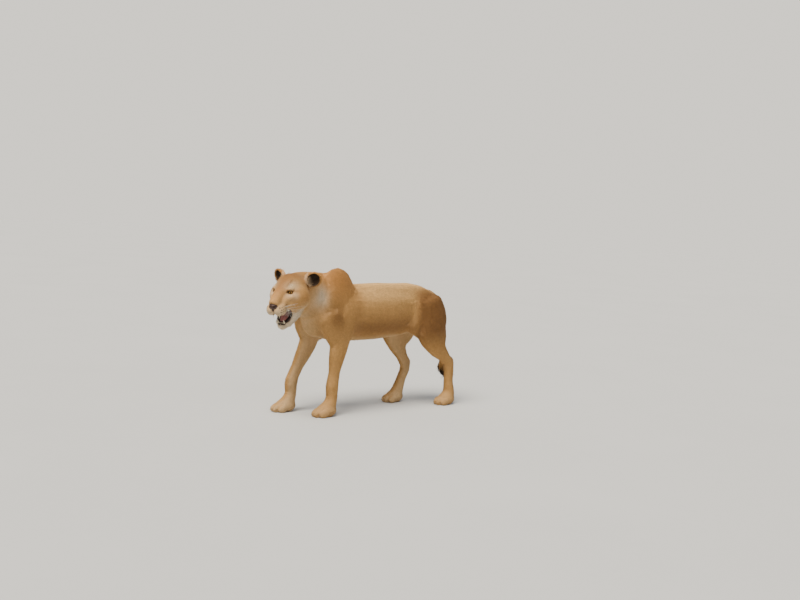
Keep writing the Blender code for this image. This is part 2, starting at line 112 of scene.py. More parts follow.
# name, bearing and rise in degrees, strength, colour, spread in degrees
SUNS = (
    ("key", 24, 58, 6.7, (1.0, 0.94, 0.83), 36),
    ("fill", 118, 28, 0.45, (0.90, 0.95, 1.0), 40),
    ("back", 232, 38, 0.75, (0.92, 0.96, 1.0), 70),
)
RING_CORNERS = 28
LOFT_STEPS = 6
REMESH_ROUNDS = (9, 5, 14)  # smoothing after each of the three blends, coarse to fine
SIDES = {"left": 1, "right": -1}
FLESH = (
    "trunk", "neck", "head", "lower_jaw", "ear_left", "ear_right", "nose", "tail", "tail_tuft",
    "foreleg_left", "foreleg_right", "hindleg_left", "hindleg_right", *PAWS,
)


# -------- settings

class LionessSkinSettings(bpy.types.PropertyGroup):
    coarse_voxel: bpy.props.FloatProperty(
        name="Coarse voxel", description="Grid that blends the big forms",
        default=0.011, subtype="DISTANCE", unit="LENGTH")
    middle_voxel: bpy.props.FloatProperty(
        name="Middle voxel", description="Grid that blends the muzzle, the jaw and the paws",
        default=0.0058, subtype="DISTANCE", unit="LENGTH")
    fine_voxel: bpy.props.FloatProperty(
        name="Fine voxel", description="Grid that blends the fine forms",
        default=0.0026, subtype="DISTANCE", unit="LENGTH")
    triangles: bpy.props.IntProperty(
        name="Triangles", description="Triangles kept in the skin before the face is refined",
        default=140000)


class LionessCoatSettings(bpy.types.PropertyGroup):
    tan: bpy.props.FloatVectorProperty(
        name="Tan", description="Main colour of the coat",
        default=(0.540, 0.292, 0.098), subtype="COLOR")
    orange: bpy.props.FloatVectorProperty(
        name="Orange tan", description="Shoulder blades, nose bridge and back of the neck",
        default=(0.470, 0.205, 0.055), subtype="COLOR")
    # brown also carries the painted shade on the haunches, lower flanks, shoulders and rear
    brown: bpy.props.FloatVectorProperty(
        name="Brown", description="Haunches, lower flanks and the line of the spine",
        default=(0.215, 0.100, 0.032), subtype="COLOR")
    pale: bpy.props.FloatVectorProperty(
        name="Pale", description="Muzzle, belly, throat and insides of the legs",
        default=(0.64, 0.45, 0.245), subtype="COLOR")
    white: bpy.props.FloatVectorProperty(
        name="White", description="Chin, under the eyes and the hair in the ears",
        default=(0.74, 0.61, 0.43), subtype="COLOR")
    dark: bpy.props.FloatVectorProperty(
        name="Dark", description="Tail tuft, backs of the ears, lips and rims of the eyes",
        default=(0.022, 0.014, 0.010), subtype="COLOR")
    tufts: bpy.props.IntProperty(
        name="Tufts", description="Number of short tufts over the whole coat", default=400000)
    lie: bpy.props.FloatProperty(
        name="Lie", description="Angle between the hair and the skin",
        default=math.radians(11), subtype="ANGLE", unit="ROTATION")
    seed: bpy.props.IntProperty(name="Seed", description="Seed of the scatter", default=7)


class LionessEyeSettings(bpy.types.PropertyGroup):
    iris_radius: bpy.props.FloatProperty(
        name="Iris radius", description="Radius of the amber ring",
        default=0.0118, subtype="DISTANCE", unit="LENGTH")
    pupil_radius: bpy.props.FloatProperty(
        name="Pupil radius", description="Radius of the round pupil",
        default=0.0048, subtype="DISTANCE", unit="LENGTH")
    amber: bpy.props.FloatVectorProperty(
        name="Amber", description="Colour of the iris",
        default=(0.42, 0.205, 0.035), subtype="COLOR")


class LionessStageSettings(bpy.types.PropertyGroup):
    camera_bearing: bpy.props.FloatProperty(
        name="Camera bearing", description="Bearing of the camera round the animal, from her front",
        default=math.radians(53), subtype="ANGLE", unit="ROTATION")
    camera_distance: bpy.props.FloatProperty(
        name="Camera distance", description="Level distance from the chest to the camera",
        default=7.0, subtype="DISTANCE", unit="LENGTH")
    camera_height: bpy.props.FloatProperty(
        name="Camera height", description="Height of the camera above the floor",
        default=1.41, subtype="DISTANCE", unit="LENGTH")
    floor_colour: bpy.props.FloatVectorProperty(
        name="Floor colour", description="Plain pale floor and backdrop",
        default=(0.52, 0.515, 0.50), subtype="COLOR")


# -------- places

def columns(first, second, third):
    """A matrix whose axes are these three directions."""
    return Matrix((first, second, third)).transposed().to_4x4()


def head_matrix():
    """Head axes as columns: her left, forward, up, hung at the eye point."""
    forward = Vector((
        math.sin(HEAD_YAW) * math.cos(HEAD_PITCH),
        -math.cos(HEAD_YAW) * math.cos(HEAD_PITCH),
        -math.sin(HEAD_PITCH),
    ))
    left = Vector((math.cos(HEAD_YAW), math.sin(HEAD_YAW), 0.0))
    axes = columns(left, forward, forward.cross(left))
    return Matrix.Translation(EYE_POINT) @ axes @ Matrix.Scale(HEAD_SCALE, 4)


def jaw_matrix():
    """Head axes with everything turned down about the jaw's hinge."""
    hinge = Matrix.Translation(JAW_HINGE)
    return head_matrix() @ hinge @ Matrix.Rotation(-JAW_DROP, 4, "X") @ hinge.inverted()


def ear_matrix(side):
    """Ear axes: across, the way it faces, and up its length."""
    length = Vector((0.76 * side, -0.20, 0.62)).normalized()
    facing = Vector((0.45 * side, 0.86, 0.05))
    facing = (facing - length * facing.dot(length)).normalized()
    seat = Matrix.Translation((EAR_SEAT[0] * side, *EAR_SEAT[1:]))
    return head_matrix() @ seat @ columns(facing.cross(length), facing, length)


def eye_matrix(side):
    """Eye axes: outward to the corner of the eye, up, and the way it looks."""
    look = Vector((0.36 * side, 0.92, 0.04)).normalized()
    level = Vector((0.92 * side, -0.36, 0.0)).normalized()
    across = (level + Vector((0, 0, 0.22))).normalized()
    across = (across - look * across.dot(look)).normalized()
    centre = Matrix.Translation((EYE_SPREAD * side, EYE_FORWARD, 0.0))
    return head_matrix() @ centre @ columns(across, look.cross(across) * side, look)


def local(points, matrix):
    """Points as numbers along the axes of matrix."""
    inverse = np.array(matrix.inverted())
    return points @ inverse[:3, :3].T + inverse[:3, 3]


def axis(matrix, index):
    """One axis of matrix as a direction of unit length."""
    return np.array(matrix.to_3x3().normalized())[:, index]


def reach(points, radii):
    """Distance from the middle of an oval with these radii, 1 on its surface."""
    return np.linalg.norm(points / np.array(radii), axis=1)


def turned(vectors, matrix):
    """Directions given along the axes of matrix, as world directions of unit length."""
    world = vectors @ np.array(matrix.to_3x3().normalized()).T
    return unit(world)


def unit(vectors):
    return vectors / np.maximum(np.linalg.norm(vectors, axis=1, keepdims=True), 1e-9)


def mirrored(points):
    """Points with both sides laid over each other."""
    return np.abs(points) * (1, 0, 0) + points * (0, 1, 1)


def ramp(values, low, high):
    """0 below low, 1 above high and smooth between them. low may be the larger."""
    t = np.clip((values - low) / (high - low), 0.0, 1.0)
    return t * t * (3 - 2 * t)


def mix(first, second, share):
    """first where share is 0, second where it is 1."""
    return first * (1 - share) + second * share


def near(points, centre, radius):
    """1 at the centre, falling smoothly away over about one radius."""
    gap = (points - np.array(centre)) / np.array(radius)
    return np.exp(-(gap ** 2).sum(axis=1))


def near_line(points, start, end, radius):
    """1 on the line from start to end, falling smoothly away over about one radius."""
    start, end = np.array(start), np.array(end)
    along = end - start
    share = np.clip((points - start) @ along / (along @ along), 0, 1)
    gap = np.linalg.norm(points - start - share[:, None] * along, axis=1)
    return np.exp(-(gap / radius) ** 2)


# -------- form tools

def ellipsoid(bm, centre, radii, tilt=0.0, place=Matrix(), about="X", corners=RING_CORNERS):
    """An oval mass, tilted in degrees about one of its axes."""
    turn = Matrix.Rotation(math.radians(tilt), 4, about)
    matrix = place @ Matrix.Translation(centre) @ turn @ Matrix.Diagonal((*radii, 1.0))
    bmesh.ops.create_uvsphere(
        bm, u_segments=corners, v_segments=corners // 2 + 1, radius=1.0, matrix=matrix)


def both_sides(bm, centre, radii, tilt=0.0, place=Matrix(), about="X"):
    for side in SIDES.values():
        turn = tilt if about == "X" else tilt * side
        ellipsoid(bm, (centre[0] * side, *centre[1:]), radii, turn, place, about)


def muscle(bm, start, end, thickness, depth, side=1):
    """An oval mass stretched from start to end, thick along X, mirrored where side is -1."""
    start, end = (Vector((x * side, y, z)) for x, y, z in (start, end))
    along = (end - start).normalized()
    across = (Vector((1, 0, 0)) - along * along.x).normalized()
    front = along.cross(across)
    axes = columns(across * thickness, front * depth, (end - start) / 2)
    bmesh.ops.create_uvsphere(
        bm, u_segments=RING_CORNERS, v_segments=16, radius=1.0,
        matrix=Matrix.Translation((start + end) / 2) @ axes)


def muscle_pair(bm, *form):
    for side in SIDES.values():
        muscle(bm, *form, side)


def smooth_path(stations):
    """Catmull-Rom values between stations, each a flat tuple of numbers."""
    points = [Vector(station) for station in stations]
    points = [2 * points[0] - points[1], *points, 2 * points[-1] - points[-2]]
    path = []
    for before, start, end, after in zip(points, points[1:], points[2:], points[3:]):
        for step in range(LOFT_STEPS):
            t = step / LOFT_STEPS
            path.append(0.5 * (
                2 * start
                + (end - before) * t
                + (2 * before - 5 * start + 4 * end - after) * t ** 2
                + (3 * start - before - 3 * end + after) * t ** 3
            ))
    path.append(points[-2])
    return path


def loft(bm, stations, place=Matrix(), dome=0.85):
    """Oval rings along a path, with domed ends. A station is x, y, z, half width, half depth."""
    path = smooth_path(stations)
    rings = []
    ends = []
    for index, values in enumerate(path):
        before = path[max(index - 1, 0)]
        after = path[min(index + 1, len(path) - 1)]
        along = (Vector(after[:3]) - Vector(before[:3])).normalized()
        side = (Vector((1, 0, 0)) - along * along.x).normalized()
        depth = along.cross(side)
        axes = columns(side * values[3], depth * values[4], along)
        axes = place @ Matrix.Translation(values[:3]) @ axes
        made = bmesh.ops.create_circle(
            bm, cap_ends=False, segments=RING_CORNERS, radius=1.0, matrix=axes)
        rings.append(made["verts"])
        ends.append(axes @ Matrix.Diagonal((1, 1, dome * min(values[3], values[4]), 1)))
    edges = [ring_edges(ring) for ring in rings]
    for first, second in zip(edges, edges[1:]):
        bmesh.ops.bridge_loops(bm, edges=first + second)
    for end in (edges[0], edges[-1]):
        bmesh.ops.contextual_create(bm, geom=end)
    if dome:
        for axes in (ends[0], ends[-1]):
            bmesh.ops.create_uvsphere(
                bm, u_segments=RING_CORNERS, v_segments=16, radius=1.0, matrix=axes)


def ring_edges(ring):
    inside = set(ring)
    found = {edge for vert in ring for edge in vert.link_edges}
    return [edge for edge in found if set(edge.verts) <= inside]


def add_object(name, data):
    obj = bpy.data.objects.new(name, data)
    bpy.context.scene.collection.objects.link(obj)
    return obj


def new_object(name, bm):
    bmesh.ops.recalc_face_normals(bm, faces=bm.faces)
    mesh = bpy.data.meshes.new(name)
    bm.to_mesh(mesh)
    bm.free()
    return add_object(name, mesh)


def choose(obj):
    """Makes obj the one selected and active object."""
    bpy.ops.object.select_all(action="DESELECT")
    obj.select_set(True)
    bpy.context.view_layer.objects.active = obj


def apply_modifiers(obj):
    choose(obj)
    for modifier in list(obj.modifiers):
        bpy.ops.object.modifier_apply(modifier=modifier.name)


def blend(obj, voxel, rounds, soft_group=""):
    """Makes overlapping forms one surface and smooths the joins."""
    remesh = obj.modifiers.new("one_surface", "REMESH")
    remesh.mode = "VOXEL"
    remesh.voxel_size = voxel
    apply_modifiers(obj)
    if soft_group:
        set_group(obj, soft_group, softness(positions(obj)))
    smooth = obj.modifiers.new("soft_joins", "SMOOTH")
    smooth.factor = 0.5
    smooth.iterations = rounds
    smooth.vertex_group = soft_group
    apply_modifiers(obj)


def set_group(obj, name, weights):
    """A vertex group whose weights are numbers from 0 to 1, one for each vertex."""
    group = obj.vertex_groups.new(name=name)
    steps = np.round(weights * 20).astype(int)
    for step in np.unique(steps):
        group.add(np.flatnonzero(steps == step).tolist(), step / 20, "REPLACE")


def join(first, *others):
    """Makes the others part of the first."""
    choose(first)
    for other in others:
        other.select_set(True)
    bpy.ops.object.join()


def read(rows, field, width, kind=np.float32):
    """A field of every element of a mesh, as one row of width numbers for each."""
    found = np.empty(len(rows) * width, kind)
    rows.foreach_get(field, found)
    return found.reshape(-1, width)


def write(rows, field, values, kind=np.float32):
    """Sets a field of every element of a mesh."""
    rows.foreach_set(field, values.astype(kind).ravel())


def positions(obj):
    return read(obj.data.vertices, "co", 3).astype(np.float64)


def normals(obj):
    return read(obj.data.vertices, "normal", 3).astype(np.float64)


def set_positions(obj, points):
    write(obj.data.vertices, "co", points)
    obj.data.update()


def settle(obj, replaced=()):
    """Moves a finished piece to its place over the origin and ties it to the frame."""
    obj.data.transform(Matrix.Translation(TO_MIDDLE))
    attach(obj, "root")
    if replaced:
        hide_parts(*replaced)


# -------- the forms

def trunk_forms(bm):
    # y, top, bottom, half width
    outline = (
        (-0.610, 0.745, 0.650, 0.050),
        (-0.565, 0.850, 0.585, 0.100),
        (-0.480, 0.915, 0.530, 0.132),
        (-0.380, 0.915, 0.500, 0.150),
        (-0.250, 0.898, BELLY_HEIGHT - 0.015, 0.166),
        (-0.100, BACK_HEIGHT, BELLY_HEIGHT - 0.012, 0.176),
        (0.050, BACK_HEIGHT, BELLY_HEIGHT, 0.172),
        (0.170, 0.896, 0.520, 0.155),
        (0.290, 0.898, 0.555, 0.136),
        (0.390, 0.882, 0.610, 0.122),
        (0.460, 0.838, 0.665, 0.098),
        (0.505, 0.785, 0.710, 0.055),
    )
    loft(bm, [(0, y, (t + b) / 2, w, (t - b) / 2) for y, t, b, w in outline])
    muscle(bm, (0, -0.545, 0.800), (0, -0.520, 0.530), 0.098, 0.085)
    muscle(bm, (0, -0.080, 0.545), (0, 0.330, 0.575), 0.105, 0.048)
    muscle_pair(bm, (0.050, -0.300, 0.850), (0.052, 0.420, 0.848), 0.055, 0.045)


def shoulder_forms(bm):
    for side, lift in ((1, 0.0), (-1, -0.040)):
        blade = (0.052, -0.362, WITHERS_HEIGHT + lift), (0.112, -0.448, 0.640 + lift)
        muscle(bm, *blade, 0.064, 0.160, side)
        muscle(bm, (0.060, -0.462, 0.960 + lift), (0.128, -0.520, 0.590), 0.060, 0.095, side)
        muscle(bm, (0.105, -0.320, 0.820 + lift), (0.140, -0.385, 0.480), 0.056, 0.088, side)


def rump_forms(bm):
    muscle_pair(bm, (0.060, 0.250, 0.850), (0.085, 0.515, 0.685), 0.072, 0.082)
    muscle_pair(bm, (0.100, 0.320, 0.830), (0.118, 0.330, 0.520), 0.062, 0.110)
    muscle_pair(bm, (0.084, 0.165, 0.700), (0.120, 0.330, 0.520), 0.046, 0.060)


def neck_forms(bm):
    loft(bm, (
        (0.000, -0.380, 0.780, 0.130, 0.170),
        (0.005, -0.510, 0.805, 0.128, 0.164),
        (0.026, -0.620, 0.824, 0.124, 0.152),
        (0.057, -0.706, 0.838, 0.120, 0.138),
        (0.090, -0.778, 0.848, 0.112, 0.118),
    ))


def foreleg_forms(bm, side, wrist_y):
    swing = wrist_y + 0.435
    x = 0.130 * side
    loft(bm, (
        (x, -0.490 + 0.15 * swing, 0.680, 0.060, 0.095),
        (x * 1.06, -0.445 + 0.25 * swing, 0.590, 0.060, 0.095),
        (x * 1.06, -0.405 + 0.35 * swing, 0.500, 0.054, 0.078),
        (x * 1.04, -0.412 + 0.50 * swing, 0.415, 0.051, 0.065),
        (x * 1.00, -0.425 + 0.80 * swing, 0.300, 0.041, 0.047),
        (x * 0.98, wrist_y, 0.205, 0.044, 0.047),
        (x * 0.98, wrist_y + 0.002, 0.130, 0.040, 0.042),
        (x * 0.98, wrist_y - 0.010, 0.085, 0.045, 0.048),
        (x * 0.98, wrist_y - 0.030, 0.050, 0.050, 0.060),
    ))


def hindleg_forms(bm, side, knee, hock, heel):
    """knee and hock are (y, z) in the leg's own plane."""
    x = 0.114 * side
    knee, hock = Vector(knee), Vector(hock)
    calf = knee.lerp(hock, 0.42)
    tendon = knee.lerp(hock, 0.78)
    loft(bm, (
        (x * 0.88, 0.390, 0.750, 0.078, 0.128),
        (x * 1.08, 0.300 + 0.35 * knee.x, 0.640, 0.075, 0.138),
        (x * 1.16, knee.x + 0.060, knee.y + 0.035, 0.065, 0.105),
        (x * 1.12, calf.x + 0.025, calf.y + 0.010, 0.054, 0.080),
        (x * 1.06, tendon.x + 0.006, tendon.y + 0.006, 0.040, 0.052),
        (x * 1.02, hock.x, hock.y - 0.020, 0.037, 0.046),
        (x * 1.00, (hock.x + heel) / 2 - 0.004, 0.175, 0.036, 0.039),
        (x * 1.00, heel - 0.006, 0.085, 0.044, 0.047),
        (x * 1.00, heel - 0.024, 0.050, 0.048, 0.058),
    ))
    muscle(bm, (x * 0.80, 0.452, 0.775), (x * 1.02, calf.x + 0.085, calf.y - 0.010), 0.056, 0.070)
    heel_bone = (x * 1.02, hock.x + 0.020, hock.y + 0.012)
    ellipsoid(bm, heel_bone, (0.026, 0.028, 0.040), 15)


def paw_forms(bm, x, y, size):
    """The body of a paw whose middle is at x, y."""
    ellipsoid(bm, (x, y + 0.010, 0.040), (0.055 * size, 0.078 * size, 0.048))
    ellipsoid(bm, (x, y - 0.028, 0.030), (0.053 * size, 0.056 * size, 0.036))


def toe_forms(bm, x, y, size):
    """Four toes, toward -Y, of the paw whose middle is at x, y."""
    for across, ahead in TOES:
        ellipsoid(
            bm, (x + across * size, y + (ahead - 0.004) * size, 0.026),
            (0.0172 * size, 0.038 * size, 0.0285), 12,
        )


def tail_forms(bm):
    loft(bm, (
        (0.000, 0.460, 0.805, 0.050, 0.048),
        (0.000, 0.525, 0.785, 0.040, 0.040),
        (0.000, 0.578, 0.725, 0.032, 0.033),
        (-0.002, 0.610, 0.620, 0.026, 0.026),
        (-0.006, 0.632, 0.490, 0.024, 0.024),
        (-0.014, 0.652, 0.360, 0.023, 0.023),
        (-0.028, 0.684, 0.265, 0.023, 0.023),
        (-0.042, 0.722, 0.215, 0.020, 0.020),
        (-0.052, 0.756, 0.194, 0.014, 0.014),
    ))


def skull_forms(bm):
    """Rounded masses of the head in head axes: left, forward, up."""
    place = head_matrix()
    ellipsoid(bm, (0, -0.085, 0.004), (0.088, 0.112, 0.086), 0, place)
    ellipsoid(bm, (0, -0.022, 0.008), (0.066, 0.062, 0.056), 0, place)
    both_sides(bm, (0.072, -0.066, -0.050), (0.056, 0.080, 0.078), 0, place)
    both_sides(bm, (0.058, -0.006, -0.030), (0.038, 0.050, 0.034), 0, place)
    ellipsoid(bm, (0, -0.130, -0.060), (0.104, 0.095, 0.095), 0, place)


def muzzle_forms(bm):
    place = head_matrix()
    loft(bm, (
        (0, -0.030, 0.016, 0.052, 0.046),
        (0, 0.020, -0.006, 0.044, 0.046),
        (0, 0.062, -0.026, 0.038, 0.042),
        (0, 0.098, -0.043, 0.036, 0.036),
        (0, 0.116, -0.056, 0.032, 0.028),
    ), place, dome=0)
    both_sides(bm, (0.038, 0.022, -0.040), (0.034, 0.056, 0.036), -20, place)
    ellipsoid(bm, (0, 0.048, -0.074), (0.058, 0.074, 0.048), -10, place)
    both_sides(bm, (0.027, 0.084, -0.090), (0.036, 0.047, 0.040), -10, place)
    both_sides(bm, (0.044, -0.002, 0.021), (0.031, 0.029, 0.013), 6, place, "Y")
    both_sides(bm, (0.053, 0.002, -0.070), (0.030, 0.050, 0.038), -12, place)
    both_sides(bm, (0.062, -0.040, -0.105), (0.030, 0.056, 0.052), 25, place)


def jaw_forms(bm):
    place = jaw_matrix()
    for side in SIDES.values():
        loft(bm, (
            (side * 0.062, -0.090, -0.085, 0.032, 0.050),
            (side * 0.052, -0.040, -0.118, 0.029, 0.042),
            (side * 0.040, 0.020, -0.135, 0.026, 0.033),
            (side * 0.024, 0.070, -0.140, 0.026, 0.030),
        ), place, dome=0)
    ellipsoid(bm, (0, 0.078, -0.142), (0.036, 0.030, 0.030), 0, place)
    ellipsoid(bm, (0, 0.000, -0.150), (0.050, 0.085, 0.020), -4, place)


def nose_forms(bm):
    place = head_matrix()
    ellipsoid(bm, NOSE_PAD, (0.0285, 0.0215, 0.0175), -20, place)
    ellipsoid(bm, (0, 0.117, -0.080), (0.009, 0.016, 0.017), 0, place)


def ear_shell(side):
    """A cup of even wall, open toward the way it faces."""
    half = EAR_HEIGHT / 2 / HEAD_SCALE
    solids = []
    for name, centre, radii in (
        ("ear", (0, 0, 0), (half * 0.96, half * 0.60, half * 1.10)),
        ("hollow", (0, half * 0.46, half * 0.05), (half * 0.83, half * 0.84, half * 0.96)),
    ):
        form = bmesh.new()
        ellipsoid(form, centre, radii, 0, ear_matrix(side), corners=40)
        solids.append(new_object(name, form))
    shell, hollow = solids
    cut = shell.modifiers.new("cup", "BOOLEAN")
    cut.operation = "DIFFERENCE"
    cut.object = hollow
    apply_modifiers(shell)
    bpy.data.objects.remove(hollow, do_unlink=True)
    return shell


def whole_body():
    """The whole animal as one closed surface, before its depth of coat is taken off."""
    sizes = bpy.context.scene.lioness_skin
    coarse = bmesh.new()
    trunk_forms(coarse)
    shoulder_forms(coarse)
    rump_forms(coarse)
    neck_forms(coarse)
    for name, side in SIDES.items():
        foreleg_forms(coarse, side, FORE_STANCE[name])
    hindleg_forms(coarse, 1, (0.335, 0.510), (0.620, 0.315), 0.645)
    hindleg_forms(coarse, -1, (0.200, 0.530), (0.395, 0.285), 0.335)
    skull_forms(coarse)
    tail_forms(coarse)
    for place in PAWS.values():
        paw_forms(coarse, *place)
    whole = new_object("skin", coarse)
    blend(whole, sizes.coarse_voxel, REMESH_ROUNDS[0])

    middling = bmesh.new()
    muzzle_forms(middling)
    jaw_forms(middling)
    for place in PAWS.values():
        paw_forms(middling, *place)
    join(whole, new_object("middling", middling))
    blend(whole, sizes.middle_voxel, REMESH_ROUNDS[1])

    fine = bmesh.new()
    nose_forms(fine)
    for place in PAWS.values():
        toe_forms(fine, *place)
    join(whole, new_object("fine", fine))
    for side in SIDES.values():
        join(whole, ear_shell(side))
    blend(whole, sizes.fine_voxel, REMESH_ROUNDS[2], "soft")
    return whole


def softness(points):
    """How much each point is smoothed: little on the thin ears and the nose."""
    head = local(points, head_matrix())
    soft = np.ones(len(points))
    for side in SIDES.values():
        ear = local(points, ear_matrix(side))
        soft = np.minimum(soft, 0.2 + 0.8 * ramp(reach(ear, (0.060, 0.045, 0.062)), 0.85, 1.15))
    soft = np.minimum(soft, 1 - 0.7 * near(head, NOSE_PAD, (0.036, 0.03, 0.03)))
    return np.minimum(soft, 0.6 + 0.4 * ramp(points[:, 2], 0.06, 0.10))


# -------- sculpting the skin

def keep_face_fine(obj, triangles):
    """Fewer triangles on the body, with the head, ears and paws left fine."""
    points = positions(obj)
    head = local(points, head_matrix())
    body = ramp(reach(head, (0.15, 0.20, 0.17)), 0.9, 1.5)
    body = body * (0.4 + 0.6 * ramp(points[:, 2], 0.07, 0.14))
    set_group(obj, "body", body)
    thin = obj.modifiers.new("fewer_faces", "DECIMATE")
    thin.ratio = triangles / (2 * len(obj.data.polygons))
    thin.vertex_group = "body"
    thin.vertex_group_factor = 1.0
    apply_modifiers(obj)


def refine(obj, chosen):
    """Splits the faces whose corners are all chosen."""
    bm = bmesh.new()
    bm.from_mesh(obj.data)
    bm.verts.ensure_lookup_table()
    edges = [edge for edge in bm.edges if all(chosen[vert.index] for vert in edge.verts)]
    bmesh.ops.subdivide_edges(bm, edges=edges, cuts=1, use_grid_fill=True)
    bmesh.ops.triangulate(bm, faces=[face for face in bm.faces if len(face.verts) > 3])
    bm.to_mesh(obj.data)
    bm.free()


def eye_zone(points):
    """Distance in metres from the nearer eye's middle."""
    gaps = [np.linalg.norm(local(points, eye_matrix(side)), axis=1) for side in SIDES.values()]
    return np.minimum(*gaps) * HEAD_SCALE


def relief(points, rows, height=0.0):
    """Adds ridges and hollows, each a height, a start, an end (None for a spot) and a radius."""
    for amount, start, end, radius in rows:
        if end is None:
            height = height + amount * near(points, start, radius)
        else:
            height = height + amount * near_line(points, start, end, radius)
    return height


def side_relief(points, side):
    """Relief of one side, with its points turned toward +X. The right foreleg is ahead."""
    lift, swing = (0.0, 0.0) if side > 0 else (-0.040, -0.165)
    ribs = [
        (0.0016, (0.140, y + 0.030, 0.790), (0.175, y - 0.030, 0.600), 0.017)
        for y in -0.215 + 0.043 * np.arange(8)
    ]
    return relief(points, (
        # blade of the shoulder: its ridge, then the hollows before and behind it
        (0.0050, (0.070, -0.395, 0.970 + lift), (0.130, -0.520, 0.680), 0.042),
        (-0.0085, (0.110, -0.262, 0.900 + lift), None, (0.10, 0.044, 0.110)),
        (-0.0050, (0.085, -0.535, 0.900 + lift), (0.145, -0.600, 0.700), 0.050),
        (-0.0030, (0.180, -0.415, 0.600), None, (0.08, 0.035, 0.110)),
        # elbow and the muscles of the forearm
        (0.0075, (0.165, -0.335 + 0.2 * swing, 0.520), None, 0.028),
        (-0.0030, (0.185, -0.415 + 0.4 * swing, 0.470), (0.165, -0.430 + 0.8 * swing, 0.320),
         0.022),
        (0.0030, (0.150, -0.420 + swing, 0.205), None, 0.030),
        (0.0050, (0.185, -0.440 + 0.4 * swing, 0.450), (0.170, -0.455 + 0.7 * swing, 0.330), 0.030),
        (0.0060, (0.130, -0.390 + swing, 0.180), None, (0.02, 0.02, 0.022)),
        # last rib, the hollow flank behind it and the fold to the thigh
        (0.0035, (0.120, 0.140, 0.800), (0.175, 0.040, 0.600), 0.040),
        (-0.0085, (0.155, 0.195, 0.725), None, (0.10, 0.090, 0.100)),
        (0.0045, (0.135, 0.205, 0.590), None, (0.08, 0.080, 0.060)),
        *ribs,
        # point of the hip, thigh muscles and the hollow before the tail
        (0.0075, (0.080, 0.255, 0.890), None, 0.050),
        (-0.0050, (0.170, 0.400, 0.640), None, (0.10, 0.042, 0.120)),
        (0.0045, (0.110, 0.450, 0.800), None, 0.070),
    ))


def body_relief(points):
    """Height to add along the normal for muscles, bones and folds of the body."""
    height = 0.0
    for side in SIDES.values():
        height = height + side_relief(points * (side, 1, 1), side)
    hindlegs = ((1, (0.620, 0.345), (0.470, 0.430)), (-1, (0.400, 0.315), (0.300, 0.430)))
    calves = [
        (0.0055, (0.150 * side, *knee), None, (0.06, 0.035, 0.060)) for side, _, knee in hindlegs
    ]
    # hollows before each heel tendon
    tendons = [
        (-0.0060, ((0.118 + offset) * side, *ankle), ((0.118 + offset) * side, *knee), 0.017)
        for side, ankle, knee in hindlegs for offset in (0.030, -0.026)
    ]
    return relief(points, (
        *calves,
        *tendons,
        # groove of the back between its long muscles, and the ridge over the rump
        (-0.0040, (0, -0.230, 0.905), (0, 0.220, 0.900), 0.030),
        (0.0030, (0, 0.280, 0.900), (0, 0.460, 0.850), 0.045),
        # folds of loose skin under the throat and the belly
        (0.0080, (0, -0.020, 0.500), (0, 0.260, 0.545), 0.040),
    ), 1.2 * height - 0.0035 * near_toes(points))


def face_relief(head, jaw):
    """Height to add along the normal for the forms of the face, in head and jaw axes."""
    height = relief(mirrored(head), (
        # flat bridge of the nose with edges, and the dip below the forehead
        (0.0022, (0.020, 0.020, 0.020), (0.018, 0.098, -0.022), 0.009),
        (-0.0030, (0.0, -0.030, 0.062), (0.0, -0.100, 0.090), 0.014),
        (0.0030, (0.032, -0.045, 0.062), None, 0.024),
        # brow, inner corner of the eye and the pouch under it
        (0.0018, (0.030, 0.016, 0.024), (0.074, -0.010, 0.026), 0.013),
        (0.0028, (0.034, 0.012, 0.015), (0.070, -0.006, 0.016), 0.0085),
        (-0.0030, (0.032, 0.020, -0.006), (0.036, 0.032, -0.022), 0.010),
        (0.0025, (0.044, 0.018, -0.024), (0.072, -0.004, -0.022), 0.007),
        # crease from the nose wing between whisker pad and cheek
        (-0.0022, (0.040, 0.062, -0.046), (0.058, 0.018, -0.078), 0.016),
        (0.0035, (0.036, 0.092, -0.088), None, 0.026),
        # cheekbone and the hollow below it
        (0.0030, (0.082, -0.010, -0.030), (0.112, -0.075, -0.030), 0.018),
        (-0.0030, (0.088, -0.010, -0.068), (0.118, -0.070, -0.078), 0.018),
        # groove from the nose down between the whisker pads
        (-0.0055, (0.0, 0.128, -0.084), (0.0, 0.120, -0.122), 0.0045),
    ))
    # lower lip's edge and the chin
    return relief(mirrored(jaw), (
        (0.0025, (0.030, 0.080, -0.128), (0.052, -0.010, -0.112), 0.008),
        (0.0030, (0.0, 0.100, -0.152), None, 0.022),
    ), height)


def lid_gap(eye):
    """Below 0 inside the almond opening of the lids, in eye axes, in about metres."""
    across, up = eye[:, 0], eye[:, 1]
    half = 0.0158
    share = np.clip(1 - (across / half) ** 2, 0, 1)
    corner = -0.0042 * ramp(across, 0.004, -half)
    top = corner + 0.0084 * share ** 0.60
    bottom = corner - 0.0072 * share ** 0.75
    outside = np.maximum(np.abs(across) - half, 0) * 1.5
    return np.maximum(up - top, bottom - up) + outside


def shape_lids(points):
    """Pulls the skin over each eyeball, opens the lids and hides the skin behind."""
    for side in SIDES.values():
        place = eye_matrix(side)
        eye = local(points, place)
        ball = EYE_RADIUS / HEAD_SCALE
        rim = np.hypot(eye[:, 0], eye[:, 1])
        front = (eye[:, 2] > -0.010) & (rim < 0.040)
        gap = lid_gap(eye)
        lid = np.sqrt(np.maximum((ball + 0.0014) ** 2 - rim ** 2, (0.35 * ball) ** 2))
        lid = lid + 0.0022 * np.exp(-(gap / 0.0028) ** 2)
        covered = 1 - ramp(gap, 0.0015, 0.0150)
        outer = mix(eye[:, 2], lid, covered)
        inner = np.minimum(ball * 0.55, outer)
        depth = np.where(gap < 0, inner, outer)
        eye[:, 2] = np.where(front, depth, eye[:, 2])
        points = np.where(front[:, None], to_world(eye, place), points)
    return points


def to_world(points, matrix):
    full = np.array(matrix)
    return points @ full[:3, :3].T + full[:3, 3]


